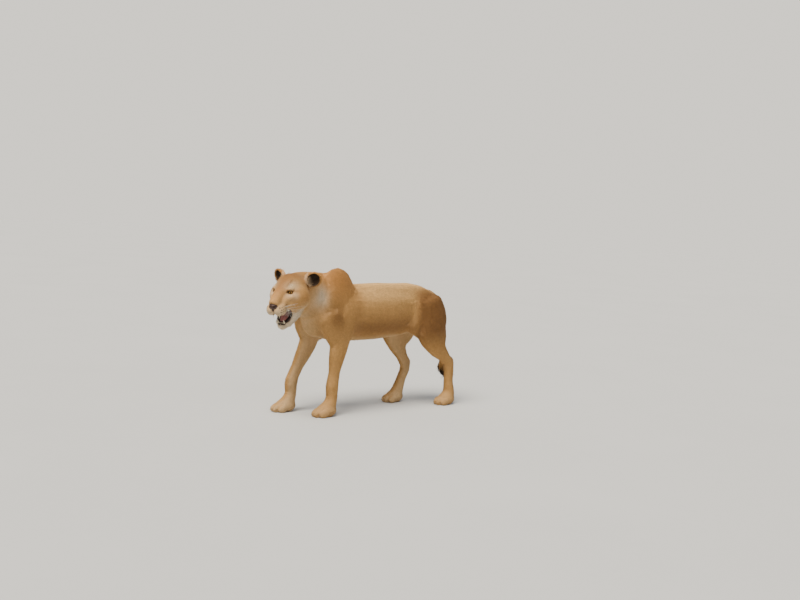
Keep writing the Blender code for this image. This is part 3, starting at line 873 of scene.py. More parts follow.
def shape_nose(points):
    """Opens the nostrils and flattens the front of the nose pad."""
    place = head_matrix()
    head = local(points, place)
    for side in SIDES.values():
        hole = near(head, (0.0135 * side, 0.135, -0.062), (0.0058, 0.016, 0.0052))
        slit = near_line(
            head, (0.017 * side, 0.132, -0.064), (0.027 * side, 0.112, -0.060), 0.0036)
        head[:, 1] -= 0.0130 * hole + 0.0050 * slit
    return to_world(head, place)


def coat_depth(points, head):
    """How far the skin lies under the tips of the coat."""
    face = 1 - ramp(np.linalg.norm(head - np.array((0, -0.02, -0.03)), axis=1), 0.10, 0.20)
    feet = 1 - ramp(points[:, 2], 0.10, 0.35)
    depth = 0.0052 - 0.0035 * face
    depth = np.minimum(depth, 0.0050 - 0.0035 * feet)
    for side in SIDES.values():
        ear = np.linalg.norm(local(points, ear_matrix(side)), axis=1)
        depth = np.minimum(depth, 0.0006 + 0.0045 * ramp(ear, 0.055, 0.075))
    return depth * ramp(points[:, 2], 0.0, 0.006)


def sculpt(obj):
    """Pushes the skin in by the coat's depth and works the face and muscles into it."""
    points = positions(obj)
    outward = normals(obj)
    head = local(points, head_matrix())
    jaw = local(points, jaw_matrix())
    near_head = 1 - ramp(reach(head, (0.14, 0.17, 0.17)), 0.95, 1.25)
    move = body_relief(points) * (1 - near_head) + face_relief(head, jaw) * near_head
    points = points + outward * (move - coat_depth(points, head))[:, None]
    points = shape_nose(points)
    points = shape_lids(points)
    points[:, 2] = np.maximum(points[:, 2], FLOOR_GAP)
    set_positions(obj, points)


def unwrap(obj):
    """The unwrap that the skin and every tuft on it share."""
    choose(obj)
    bpy.ops.object.mode_set(mode="EDIT")
    bpy.ops.mesh.select_all(action="SELECT")
    bpy.ops.uv.smart_project(angle_limit=math.radians(66), island_margin=0.001)
    bpy.ops.object.mode_set(mode="OBJECT")
    obj.data.uv_layers[0].name = "OFBake"


class LIONESS_OT_skin(bpy.types.Operator):
    """Build the one skin under the coat, with its face and ears"""
    bl_idname = "lioness.skin"
    bl_label = "Skin"

    def execute(self, context):
        sizes = context.scene.lioness_skin
        skin = whole_body()
        keep_face_fine(skin, sizes.triangles)
        points = positions(skin)
        head = local(points, head_matrix())
        fine = (eye_zone(points) < 0.036) | (near(head, NOSE_PAD, 0.034) > 0.3)
        refine(skin, fine)
        points = positions(skin)
        refine(skin, eye_zone(points) < 0.026)
        sculpt(skin)
        choose(skin)
        bpy.ops.object.shade_smooth()
        unwrap(skin)
        place = Place(positions(skin), normals(skin))
        write_colours(skin.data, markings(place) * 0.8)
        wet = np.max([place.nose(), place.mouth(), place.lips(), place.eye_rim()], axis=0)
        layer = skin.data.attributes.new("wetness", "FLOAT", "POINT")
        write(layer.data, "value", wet)
        skin.data.materials.clear()
        skin.data.materials.append(skin_material())
        settle(skin, FLESH)
        return {"FINISHED"}


# -------- the coat's rules

class Place:
    """Points of the skin with their coordinates in the head's, jaw's and ears' axes."""

    def __init__(self, points, outward):
        self.points = points
        self.outward = outward
        self.head = local(points, head_matrix())
        self.jaw = local(points, jaw_matrix())
        self.ears = [local(points, ear_matrix(side)) for side in SIDES.values()]
        self.eyes = [local(points, eye_matrix(side)) for side in SIDES.values()]
        self.even = mirrored(self.head)
        self.even_jaw = mirrored(self.jaw)
        self.mirror = mirrored(points)
        skull = reach(self.head - (0, -0.02, -0.04), (0.15, 0.19, 0.17))
        chin = reach(self.jaw - (0, 0.01, -0.11), (0.11, 0.15, 0.10))
        self.in_head = 1 - ramp(np.minimum(skull, chin), 0.85, 1.15)
        ears = [reach(ear, EAR_REACH) for ear in self.ears]
        self.in_ear = 1 - ramp(np.minimum(*ears), 0.95, 1.15)
        self.in_tail = ramp(points[:, 1], 0.545, 0.585) * (
            1 - ramp(np.abs(points[:, 0] + 0.020), 0.045, 0.060))
        self.tip = self.in_tail * (1 - ramp(points[:, 2], 0.27, 0.31))

    def ears_facing(self, low, high, radii):
        """1 on an ear's skin that turns as far as high toward the cup's open side, 0 at low."""
        share = np.zeros(len(self.points))
        for side, ear in zip(SIDES.values(), self.ears):
            facing = ramp(self.outward @ axis(ear_matrix(side), 1), low, high)
            share = np.maximum(share, facing * (1 - ramp(reach(ear, radii), 0.90, 1.10)))
        return share

    def ear_cup(self):
        return self.ears_facing(-0.05, 0.25, (0.050, 0.045, 0.056))

    def ear_back(self):
        return self.ears_facing(-0.05, -0.45, (0.056, 0.042, 0.062))

    def lips(self):
        """1 on the dark edges of the lips."""
        edges = []
        for even, front, corner, back, radii in (
            (self.even, (0.004, 0.118, -0.122), (0.030, 0.104, -0.130), (0.056, 0.030, -0.112),
             (0.0065, 0.0075)),
            (self.even_jaw, (0.004, 0.100, -0.124), (0.034, 0.072, -0.116),
             (0.058, -0.040, -0.085), (0.0065, 0.0085)),
        ):
            lip = np.maximum(
                near_line(even, front, corner, radii[0]), near_line(even, corner, back, radii[1]))
            edges.append(ramp(lip, 0.30, 0.62))
        return np.maximum(*edges)

    def mouth(self):
        """1 on the lining of the open mouth."""
        ahead, up = self.head[:, 1], self.head[:, 2]
        jaw_ahead, jaw_up = self.jaw[:, 1], self.jaw[:, 2]
        roof = ramp(-self.outward @ axis(head_matrix(), 2), 0.35, 0.60)
        roof = roof * (1 - ramp(self.even[:, 0], 0.040, 0.050))
        roof = roof * ramp(ahead, -0.10, -0.06) * (1 - ramp(ahead, 0.104, 0.112))
        roof = roof * (1 - ramp(up, -0.085, -0.070)) * ramp(jaw_up, -0.12, -0.09)
        floor = ramp(self.outward @ axis(jaw_matrix(), 2), 0.30, 0.55)
        floor = floor * (1 - ramp(self.even_jaw[:, 0], 0.046, 0.056))
        floor = floor * ramp(jaw_ahead, -0.10, -0.06) * (1 - ramp(jaw_ahead, 0.088, 0.098))
        floor = floor * ramp(jaw_up, -0.165, -0.155) * (1 - ramp(up, -0.09, -0.07))
        inward = -np.sign(self.head[:, 0]) * (self.outward @ axis(head_matrix(), 0))
        walls = ramp(inward, 0.2, 0.5) * (1 - ramp(up, -0.10, -0.08))
        walls = walls * (1 - ramp(jaw_ahead, 0.075, 0.09)) * ramp(jaw_up, -0.165, -0.155)
        return np.maximum(np.maximum(roof, floor), walls) * ramp(self.in_head, 0.3, 0.6)

    def nose(self):
        """1 on the bare leather of the nose."""
        pad = reach(self.even - (0, 0.119, -0.061), (0.031, 0.026, 0.0185))
        stem = reach(self.even - (0, 0.125, -0.082), (0.0085, 0.016, 0.018))
        edge = np.minimum(pad, stem)
        return (1 - ramp(edge, 0.98, 1.10)) * ramp(self.head[:, 1], 0.098, 0.106)

    def eye_rim(self):
        """1 on the dark skin round the eyes, and on the line down from the inner corner."""
        rim = np.zeros(len(self.points))
        for eye in self.eyes:
            close = (np.linalg.norm(eye, axis=1) < 0.045) & (eye[:, 2] > 0.0)
            tear = near_line(eye, (-0.0150, -0.004, 0.016), (-0.0250, -0.0190, 0.020), 0.0050)
            for dark in (1 - ramp(lid_gap(eye), 0.0018, 0.0042), ramp(tear, 0.35, 0.75)):
                rim = np.maximum(rim, dark * close)
        return rim

    def pads(self):
        """1 on the soles."""
        return 1 - ramp(self.points[:, 2], 0.0015, 0.004)

    def bare(self):
        """1 where no hair grows."""
        return np.max([self.nose(), self.mouth(), self.lips(), self.eye_rim(), self.pads()], axis=0)


def layered(values, layers):
    """Lays each layer's colour or direction over those before it, by its share at each place."""
    for value, share in layers:
        values = mix(values, np.array(value), share[:, None])
    return values


def markings(place):
    """The colour of skin and coat at each place, by the rules of the species, with painted sunlight
    on the back and painted shade on the shoulders, flanks, haunches, rear, toes, crown and ears.
    """
    coat = bpy.context.scene.lioness_coat
    points, mirror = place.points, place.mirror
    y, z = points[:, 1], points[:, 2]
    side = np.sign(points[:, 0])
    trunk, body = 1 - place.in_head, 1 - place.in_tail
    side_shade = 0.75 + 0.25 * side  # painted shade, stronger on her left side
    # painted sunlight where the skin faces up along the back
    back = ramp(place.outward[:, 2], -0.10, 0.75) * ramp(y, -0.30, -0.20) * ramp(z, 0.70, 0.84)
    # painted shade on each haunch and on the skin that faces backward over the rump
    shaded_haunch = ramp(y, 0.225, 0.305) * ramp(mirror[:, 0], 0.045, 0.10) * ramp(z, 0.38, 0.60)
    shaded_haunch = shaded_haunch * (1 - ramp(z, 0.81, 0.91)) * body
    shaded_rear = ramp(place.outward[:, 1], 0.35, 0.9) * ramp(y, 0.36, 0.50) * ramp(z, 0.30, 0.40)
    under = ramp(-place.outward[:, 2], 0.70, 0.98) * ramp(z, 0.40, 0.47) * trunk
    inside = ramp(-place.outward[:, 0] * side, 0.2, 0.8)
    inside = inside * (1 - ramp(z, 0.55, 0.66)) * ramp(mirror[:, 0], 0.03, 0.07)
    patch = near(mirror, (0.145, -0.565, 0.820), (0.075, 0.045, 0.065))
    patch += 0.4 * near(mirror, (0.145, -0.625, 0.780), (0.075, 0.060, 0.090))
    colours = layered(np.tile(np.array(coat.tan), (len(points), 1)), (
        # darker line along the spine, painted sunlight on the back, the warm shoulder blades and
        # nape, and painted shade low on each shoulder
        (coat.brown, 0.12 * near_line(mirror, (0, -0.45, 0.95), (0, 0.45, 0.90), 0.055) * trunk),
        (SUNLIT_BACK_COLOUR, 0.75 * back * (1 - 0.9 * ramp(y, 0.27, 0.40))),
        (coat.orange, 0.95 * near(mirror, (0.07, -0.42, 0.92), (0.12, 0.17, 0.15)) * trunk),
        (coat.brown, 0.75 * near(mirror, (0.17, -0.46, 0.68), (0.09, 0.09, 0.09)) * trunk * side_shade),
        (coat.orange, 0.55 * near_line(
            mirror, (0.06, -0.80, 0.95), (0.02, -0.52, 0.95), 0.09) * trunk),
        # painted shade on the haunch, on the skin that faces backward, low on the flank and in the
        # hollow behind the shoulder
        (coat.brown, 0.95 * shaded_haunch * side_shade),
        (coat.brown, 0.60 * shaded_rear * body),
        (coat.brown, 0.85 * near_line(mirror, (0.17, -0.24, 0.58), (0.16, 0.18, 0.59), 0.090)),
        (coat.brown, 0.35 * near_line(mirror, (0.10, -0.240, 0.90), (0.17, -0.270, 0.70), 0.030)),
        # pale belly, insides of the legs and throat
        (coat.pale, 0.55 * under),
        (coat.pale, 0.55 * inside * body),
        (coat.pale, 0.55 * near_line(
            points, (0.10, -0.78, 0.70), (0.0, -0.56, 0.60), 0.10) * trunk),
        # pale patch on the neck behind and below each ear, and paler feet
        (coat.white, 0.72 * np.clip(patch, 0, 1)),
        (coat.pale, 0.22 * (1 - ramp(z, 0.03, 0.12))),
        # painted shade in the gaps between the toes
        (coat.brown, 0.55 * near_toes(points)),
        (coat.dark, place.tip),
    ))
    return face_markings(place, coat, colours)


def near_toes(points):
    """1 in the gaps between the toes."""
    gaps = np.zeros(len(points))
    for x, y, size in PAWS.values():
        for (left, ahead), (right, other) in zip(TOES, TOES[1:]):
            middle = (left + right) / 2 * size
            front = (ahead + other) / 2 * size
            gaps = np.maximum(gaps, near_line(
                points, (x + middle, y + front + 0.012, 0.060),
                (x + middle, y + front - 0.034, 0.012), 0.0055))
    return gaps


def whisker_spots(even):
    """How dark each of the spots in rows is at each place of the whisker pads."""
    for row in range(4):
        for spot in range(5):
            ahead = 0.112 - 0.0140 * spot - 0.004 * (row % 2)
            height = -0.070 - 0.0125 * row + 0.0020 * spot
            gap = np.hypot(even[:, 1] - ahead, even[:, 2] - height)
            yield 0.80 * (1 - ramp(gap, 0.0020, 0.0042)) * ramp(even[:, 0], 0.026, 0.034)


def face_markings(place, coat, colours):
    even, jaw, face = place.even, place.even_jaw, place.in_head
    crown = face * near_line(even, (0, 0.005, 0.055), (0, -0.14, 0.10), 0.072)
    chin = ramp(jaw[:, 1], -0.10, 0.02) * (1 - ramp(jaw[:, 2], -0.10, -0.07))
    rims = [reach(ear[:, ::2], (0.046, 0.053)) for ear in place.ears]
    middle = 1 - ramp(np.minimum(*rims), 0.74, 0.94)
    cup = place.ear_cup()
    return layered(colours, (
        # warm bridge of the nose and crown, with painted shade darkening the crown
        (coat.orange, 0.70 * face * near_line(even, (0, 0.030, 0.030), (0, 0.095, -0.020), 0.026)),
        (coat.orange, 0.90 * crown),
        (coat.brown, 0.66 * crown),
        # pale round the eyes, on cheeks, muzzle and chin
        (coat.pale, 0.85 * near(even, (0.064, -0.008, 0.034), (0.036, 0.05, 0.026))),
        (coat.white, 0.70 * near_line(
            even, (0.044, 0.024, -0.026), (0.080, -0.004, -0.026), 0.020)),
        (coat.orange, 0.45 * near(even, (0.100, -0.050, -0.050), (0.04, 0.06, 0.05))),
        (coat.pale, 0.50 * near(even, (0.100, -0.060, -0.110), (0.04, 0.06, 0.04))),
        (coat.pale, 0.90 * near(even, (0.034, 0.086, -0.088), (0.042, 0.052, 0.034))),
        (coat.white, 0.70 * near(even, (0.030, 0.108, -0.104), (0.036, 0.040, 0.024))),
        (coat.white, 0.85 * chin * ramp(face, 0.4, 0.8)),
        # dark streak above the inner corner of each eye and a faint one on the cheek
        (coat.brown, 0.75 * near_line(even, (0.034, 0.012, 0.030), (0.046, -0.030, 0.062), 0.0075)),
        (coat.brown, 0.55 * near_line(
            even, (0.084, -0.012, 0.004), (0.106, -0.060, -0.010), 0.009)),
        *((coat.dark, dark * face) for dark in whisker_spots(even)),
        # ears: dark backs, painted backlight on the rims, painted shade deep in the cups, with pale
        # hair toward the inner rim
        (coat.dark, 0.90 * place.ear_back() * middle),
        (coat.orange, 0.60 * place.in_ear * (1 - middle)),
        (CUP_SHADE_COLOUR, 0.96 * cup * middle),
        (FRINGE_COLOUR, 0.72 * cup * (1 - ramp(even[:, 0], 0.088, 0.106))),
        # bare skin
        (MOUTH_COLOUR, place.mouth()),
        (coat.dark, place.lips()),
        (NOSE_COLOUR, place.nose()),
        (coat.dark, place.eye_rim()),
        (SOLE_COLOUR, place.pads()),
    ))


def coat_lie(place):
    """The direction in which the hair lies, along the skin, at each place."""
    mirror, z = place.mirror, place.points[:, 2]
    flow = np.tile((0.0, 1.0, -0.22), (len(z), 1))
    flow[:, 2] -= 0.45 * ramp(mirror[:, 0], 0.05, 0.15) * (1 - ramp(z, 0.75, 0.90))
    breast = ramp(-place.outward[:, 1], 0.3, 0.8) * ramp(z, 0.45, 0.6) * (1 - place.in_head)
    flow = layered(flow, (
        # shoulder, thigh, legs, belly, breast, paws, tail and its end
        ((0, 0.45, -0.95), 0.85 * near(mirror, (0.15, -0.42, 0.70), (0.12, 0.15, 0.24))),
        ((0, 0.55, -0.90), 0.85 * near(mirror, (0.15, 0.42, 0.62), (0.12, 0.16, 0.20))),
        ((0, 0.10, -1.0), 1 - ramp(z, 0.42, 0.56)),
        ((0, 0.9, -0.5), ramp(-place.outward[:, 2], 0.6, 0.9) * ramp(z, 0.42, 0.48)),
        ((0, 0.35, -0.95), breast),
        ((0, -1.0, -0.35), 1 - ramp(z, 0.045, 0.10)),
        ((-0.02, 0.12, -1.0), place.in_tail),
        ((-0.25, 0.95, -0.45), place.in_tail * (1 - ramp(z, 0.22, 0.29))),
    ))
    flow = mix(flow, face_lie(place), place.in_head[:, None])
    for eared, ear in zip(SIDES.values(), place.ears):
        share = (1 - ramp(reach(ear, EAR_REACH), 0.95, 1.15))[:, None]
        away = np.column_stack((ear[:, 0] * 6, np.full(len(ear), 0.004), 0.035 + ear[:, 2]))
        spread = turned(away, ear_matrix(eared))
        flow = mix(flow, spread, share)
    flow = flow - place.outward * (flow * place.outward).sum(axis=1, keepdims=True)
    return unit(flow)


def face_lie(place):
    """Hair runs back from the nose, out over the cheeks and down the jaw."""
    away = place.head - np.array((0, 0.150, -0.045))
    away[:, 1] -= 0.05
    away[:, 2] -= 0.04 * ramp(place.even[:, 0], 0.06, 0.11)
    upper = turned(away, head_matrix())
    down = place.jaw - np.array((0, 0.125, -0.130))
    lower = turned(down * (1.0, 1.2, 1.0), jaw_matrix())
    below = (1 - ramp(place.jaw[:, 2], -0.105, -0.085)) * ramp(place.in_head, 0.2, 0.5)
    return mix(upper, lower, below[:, None])


def coat_length(place):
    """Length of the hair at each place, in metres."""
    mirror, z = place.mirror, place.points[:, 2]
    length = np.full(len(z), HAIR_LENGTH)
    length += 0.0080 * ramp(-place.outward[:, 2], 0.4, 0.9) * ramp(z, 0.42, 0.50)
    length += 0.0060 * near_line(mirror, (0.10, -0.72, 0.74), (0.06, -0.56, 0.62), 0.10)
    length += 0.0050 * near_line(mirror, (0.10, 0.52, 0.72), (0.11, 0.46, 0.52), 0.07)
    length -= 0.0060 * (1 - ramp(z, 0.30, 0.50))
    length -= 0.0110 * near(mirror, (0.070, -0.420, 0.485), (0.085, 0.16, 0.050))
    length -= 0.0030 * (1 - ramp(z, 0.06, 0.14))
    face = 0.0042 + 0.0075 * ramp(np.linalg.norm(place.head - (0, 0.05, -0.02), axis=1), 0.05, 0.17)
    face += 0.0020 * near(place.even_jaw, (0, 0.060, -0.165), (0.035, 0.05, 0.02))
    face += 0.0080 * near(place.even, (0.115, -0.090, -0.090), (0.04, 0.06, 0.05))
    for there, share in ((face, place.in_head), (0.0075, place.in_ear), (0.0120, place.in_tail)):
        length = mix(length, there, share)
    return length


# -------- the coat's mesh

class Skin:
    """The finished skin's triangles, from which roots of hair are drawn."""

    def __init__(self, obj):
        mesh = obj.data
        mesh.calc_loop_triangles()
        self.corners = read(mesh.loop_triangles, "vertices", 3, np.int32)
        self.loops = read(mesh.loop_triangles, "loops", 3, np.int32)
        self.points = positions(obj) - np.array(TO_MIDDLE)
        self.normals = normals(obj)
        self.layout = read(mesh.uv_layers["OFBake"].data, "uv", 2)
        a, b, c = (self.points[self.corners[:, i]] for i in range(3))
        self.crosses = np.cross(b - a, c - a)
        self.areas = 0.5 * np.linalg.norm(self.crosses, axis=1)
        self.middles = (a + b + c) / 3

    def roots(self, rng, weights, count):
        """count roots drawn with the given weight for each triangle."""
        share = self.areas * weights
        chosen = np.searchsorted(np.cumsum(share) / share.sum(), rng.random(count))
        chosen = np.minimum(chosen, len(self.areas) - 1)
        first, second = np.sqrt(rng.random(count)), rng.random(count)
        parts = np.column_stack((1 - first, first * (1 - second), first * second))[:, :, None]
        corners, loops = self.corners[chosen], self.loops[chosen]
        points = (self.points[corners] * parts).sum(axis=1)
        outward = unit((self.normals[corners] * parts).sum(axis=1))
        return points, outward, (self.layout[loops] * parts).sum(axis=1)


def tuft_mesh(name, roots, outward, layout, lie, length, width, lift, colours, bends, rng):
    """One mesh of pointed three-sided tufts. bends is the number of rings above the root."""
    count = len(roots)
    across = unit(np.cross(lie, outward))
    rise = np.sin(lift)[:, None] * outward + np.cos(lift)[:, None] * lie
    droop = (lie - outward * 0.35) * (length * DROOP)[:, None]
    rings = []
    for ring in range(bends):
        share = ring / bends
        centre = roots + rise * (length * share)[:, None] - outward * ROOT_DEPTH * (ring == 0)
        centre = centre + droop * share ** 2
        half = (width * (1 - 0.45 * share))[:, None]
        rings.append(np.stack((
            centre - across * half, centre + across * half, centre + outward * half * 0.7,
        ), axis=1))
    tip = roots + rise * length[:, None] + droop * (bends > 1)
    points = np.concatenate([*rings, tip[:, None]], axis=1)
    points[:, :, 2] = np.maximum(points[:, :, 2], FLOOR_GAP)
    corners = points.shape[1]
    faces = []
    for ring in range(bends - 1):
        low, high = 3 * ring, 3 * ring + 3
        for a, b in ((0, 1), (1, 2), (2, 0)):
            faces += [(low + b, low + a, high + b), (high + b, low + a, high + a)]
    top, peak = 3 * (bends - 1), corners - 1
    faces += [(top + 1, top, peak), (top + 2, top + 1, peak), (top, top + 2, peak)]
    faces = np.array(faces)
    every = (np.arange(count)[:, None, None] * corners + faces).reshape(-1, 3)

    mesh = bpy.data.meshes.new(name)
    mesh.vertices.add(count * corners)
    write(mesh.vertices, "co", points)
    mesh.loops.add(every.size)
    write(mesh.loops, "vertex_index", every, np.int32)
    mesh.polygons.add(len(every))
    write(mesh.polygons, "loop_start", np.arange(0, every.size, 3), np.int32)
    write(mesh.polygons, "use_smooth", np.ones(len(every)), bool)
    mesh.update(calc_edges=True)

    along = np.append(np.repeat(np.arange(bends) / bends, 3), 1.0)
    # painted shade darkens each tuft toward its root and leaves its tip lighter
    shade = 0.80 + 0.28 * along
    tone = 1 + 0.16 * (rng.random((count, 1, 1)) - 0.5)
    tints = colours[:, None, :] * shade[None, :, None] * tone
    write_colours(mesh, np.clip(tints, 0, 1).reshape(-1, 3))
    patch = np.zeros((corners, 2))
    patch[: 3 * bends : 3, 0] = -TUFT_PATCH / 2
    patch[1 : 3 * bends : 3, 0] = TUFT_PATCH / 2
    patch[:, 1] = TUFT_PATCH * (along - 0.5)
    spots = (layout[:, None, :] + patch[None]).reshape(-1, 2)
    uvs = mesh.uv_layers.new(name="OFBake")
    write(uvs.data, "uv", spots[every.ravel()])
    # the tufts take the light as the skin below them does
    soft = unit(outward + 0.25 * lie)
    bend = np.stack((-across * 0.35, across * 0.35, outward * 0.2), axis=1)
    turned_normals = np.concatenate([soft[:, None] + bend] * bends + [soft[:, None]], axis=1)
    mesh.normals_split_custom_set_from_vertices(unit(turned_normals.reshape(-1, 3)))
    return add_object(name, mesh)


def write_colours(mesh, colours):
    layer = mesh.attributes.new("marking", "FLOAT_COLOR", "POINT")
    write(layer.data, "color", np.column_stack((colours, np.ones(len(colours)))))


def coat_piece(name, skin, weights, rng, *, count, lift, scale=1.0, width=TUFT_WIDTH, bends=1):
    """Grows count tufts where the weights ask for them, leaving out bare skin.

    scale is their length in lengths of the short coat, width half their width at the root,
    lift their angle with the skin and bends the number of rings from root to tip.
    """
    roots, outward, layout = skin.roots(rng, weights, count)
    place = Place(roots, outward)
    hairy = place.bare() < 0.35
    place = Place(roots[hairy], outward[hairy])
    number = int(hairy.sum())
    lie = coat_lie(place)
    stray = np.cross(place.outward, lie) * (STRAY * rng.standard_normal((number, 1)))
    lie = unit(lie + stray)
    length = coat_length(place) * scale * (0.75 + 0.5 * rng.random(number))
    angles = lift * (0.55 + 0.9 * rng.random(number))
    wide = width * np.clip(length / USUAL_LENGTH, 0.45, 1.3)
    piece = tuft_mesh(
        name, place.points, place.outward, layout[hairy], lie, length, wide, angles,
        markings(place), bends, rng,
    )
    piece.data.materials.append(coat_material())
    settle(piece)


class LIONESS_OT_coat(bpy.types.Operator):
    """Grow the short coat over the whole skin, in pieces from nose to tail"""
    bl_idname = "lioness.coat"
    bl_label = "Coat"

    def execute(self, context):
        settings = context.scene.lioness_coat
        skin = Skin(bpy.data.objects["skin"])
        rng = np.random.default_rng(settings.seed)
        place = Place(skin.middles, unit(skin.crosses))
        density = (USUAL_LENGTH / coat_length(place)) ** 1.25
        density = density * (place.bare() < 0.6)
        y, z = skin.middles[:, 1], skin.middles[:, 2]
        head = place.in_head > 0.5
        leg = (z < 0.50) & (place.in_tail < 0.5) & ~head
        left = skin.middles[:, 0] > 0
        trunk = ~head & ~leg
        zones = {
            "coat_head": head,
            "coat_neck": trunk & (y < -0.48),
            "coat_shoulders": trunk & (y >= -0.48) & (y < -0.27),
            "coat_chest": trunk & (y >= -0.27) & (y < 0.02),
            "coat_flanks": trunk & (y >= 0.02) & (y < 0.29),
            "coat_haunches": trunk & (y >= 0.29),
            "coat_foreleg_left": leg & (y < 0.0) & left,
            "coat_foreleg_right": leg & (y < 0.0) & ~left,
            "coat_hindleg_left": leg & (y >= 0.0) & left,
            "coat_hindleg_right": leg & (y >= 0.0) & ~left,
        }
        total = (skin.areas * density).sum()
        for name, zone in zones.items():
            weights = density * zone
            count = int(settings.tufts * (skin.areas * weights).sum() / total)
            coat_piece(name, skin, weights, rng, count=count, lift=settings.lie)
        return {"FINISHED"}


class LIONESS_OT_long_hair(bpy.types.Operator):
    """Grow the longer hair of the tail tuft, ears, cheeks, chin, throat, belly and thighs"""
    bl_idname = "lioness.long_hair"
    bl_label = "Long hair"

    def execute(self, context):
        settings = context.scene.lioness_coat
        skin = Skin(bpy.data.objects["skin"])
        rng = np.random.default_rng(settings.seed + 1)
        place = Place(skin.middles, skin.normals[skin.corners[:, 0]])
        coat_piece(
            "coat_tail_tuft", skin, place.tip, rng,
            count=5200, lift=math.radians(13), scale=3.8, width=0.0017, bends=3)
        rim = np.zeros(len(skin.middles))
        for ear in place.ears:
            edge = reach(ear[:, ::2], (0.046, 0.052))
            close = np.linalg.norm(ear, axis=1) < 0.065
            rim = np.maximum(rim, np.exp(-((edge - 0.98) / 0.10) ** 2) * close)
        coat_piece(
            "coat_ears", skin, rim * place.in_ear + 0.5 * place.ear_cup(), rng,
            count=5200, lift=math.radians(18), scale=1.15, width=0.0008, bends=2)
        ruff = near(place.even, (0.118, -0.115, -0.075), (0.035, 0.06, 0.06))
        ruff += near_line(place.mirror, (0.09, -0.74, 0.70), (0.05, -0.57, 0.60), 0.08)
        ruff += 0.6 * near(place.even_jaw, (0.0, 0.030, -0.170), (0.04, 0.06, 0.02))
        belly = ramp(-place.outward[:, 2], 0.5, 0.9) * ramp(skin.middles[:, 2], 0.42, 0.50)
        belly += 0.7 * near_line(place.mirror, (0.10, 0.52, 0.72), (0.11, 0.50, 0.50), 0.05)
        belly += 0.5 * near_line(place.mirror, (0.13, -0.30, 0.56), (0.15, -0.36, 0.45), 0.05)
        coat_piece(
            "coat_long", skin, (ruff + belly) * (1 - place.in_tail) * (place.bare() < 0.4), rng,
            count=16000, lift=math.radians(11), scale=1.25, width=0.0012, bends=2)
        fringe = place.ear_cup() * (1 - ramp(place.even[:, 0], 0.088, 0.112))
        coat_piece(
            "coat_ear_fringe", skin, fringe, rng,
            count=900, lift=math.radians(40), scale=2.7, width=0.0008, bends=3)
        return {"FINISHED"}


# -------- finishes

def node_group(name, inputs, outputs):
    """An empty node group with named sockets, and its input and output nodes."""
    group = bpy.data.node_groups.new(name, "ShaderNodeTree")
    for direction, sockets in (("INPUT", inputs), ("OUTPUT", outputs)):
        for label, kind in sockets:
            group.interface.new_socket(name=label, in_out=direction, socket_type=kind)
    return group, group.nodes.new("NodeGroupInput"), group.nodes.new("NodeGroupOutput")


def add(nodes, kind, **inputs):
    """A new shader node with values for its named inputs, in which _ stands for a space."""
    node = nodes.new("ShaderNode" + kind)
    set_inputs(node, **inputs)
    return node


def set_inputs(node, **inputs):
    for label, value in inputs.items():
        node.inputs[label.replace("_", " ")].default_value = value


def grain_group():
    """Fine streaks of lighter and darker hair, as a tint and a height."""
    name = "hair_grain"
    if name in bpy.data.node_groups:
        return bpy.data.node_groups[name]
    group, given, result = node_group(
        name,
        (("Colour", "NodeSocketColor"), ("Scale", "NodeSocketFloat"),
         ("Strength", "NodeSocketFloat")),
        (("Colour", "NodeSocketColor"), ("Height", "NodeSocketFloat")),
    )
    nodes, links = group.nodes, group.links
    noise = add(nodes, "TexNoise", Detail=5.0, Roughness=0.62)
    links.new(add(nodes, "TexCoord").outputs["Object"], noise.inputs["Vector"])
    links.new(given.outputs["Scale"], noise.inputs["Scale"])
    spread = add(nodes, "MapRange", From_Min=0.30, From_Max=0.70, To_Min=-1.0, To_Max=1.0)
    links.new(noise.outputs["Fac"], spread.inputs["Value"])
    amount = add(nodes, "Math")
    amount.operation = "MULTIPLY_ADD"
    amount.inputs[2].default_value = 1.0
    links.new(spread.outputs["Result"], amount.inputs[0])
    links.new(given.outputs["Strength"], amount.inputs[1])
    tint = add(nodes, "VectorMath")
    tint.operation = "SCALE"
    links.new(given.outputs["Colour"], tint.inputs[0])
    links.new(amount.outputs["Value"], tint.inputs["Scale"])
    links.new(tint.outputs["Vector"], result.inputs["Colour"])
    links.new(noise.outputs["Fac"], result.inputs["Height"])
    return group


def principled(name, **inputs):
    """A new material with its nodes, links and shader, and values for the shader's inputs."""
    made = bpy.data.materials.new(name)
    made.use_nodes = True
    shader = made.node_tree.nodes["Principled BSDF"]
    set_inputs(shader, **inputs)
    return made, made.node_tree.nodes, made.node_tree.links, shader


def add_grain(nodes, links, shader, scale, strength):
    """Feeds a colour, streaked by the hair grain, to the shader's base colour."""
    grain = nodes.new("ShaderNodeGroup")
    grain.node_tree = grain_group()
    set_inputs(grain, Scale=scale, Strength=strength)
    links.new(grain.outputs["Colour"], shader.inputs["Base Color"])
    return grain


def add_bump(nodes, links, shader, height, distance, strength=1.0):
    bump = add(nodes, "Bump", Distance=distance, Strength=strength)
    links.new(height, bump.inputs["Height"])
    links.new(bump.outputs["Normal"], shader.inputs["Normal"])


def read_attribute(nodes, name):
    node = add(nodes, "Attribute")
    node.attribute_name = name
    return node


def coat_material():
    name = "coat_hair"
    if name in bpy.data.materials:
        return bpy.data.materials[name]
    made, nodes, links, shader = principled(
        name, Roughness=0.70, Specular_IOR_Level=0.12, Sheen_Weight=0.03, Sheen_Roughness=0.45)
    grain = add_grain(nodes, links, shader, 46.0, 0.13)
    links.new(read_attribute(nodes, "marking").outputs["Color"], grain.inputs["Colour"])
    return made


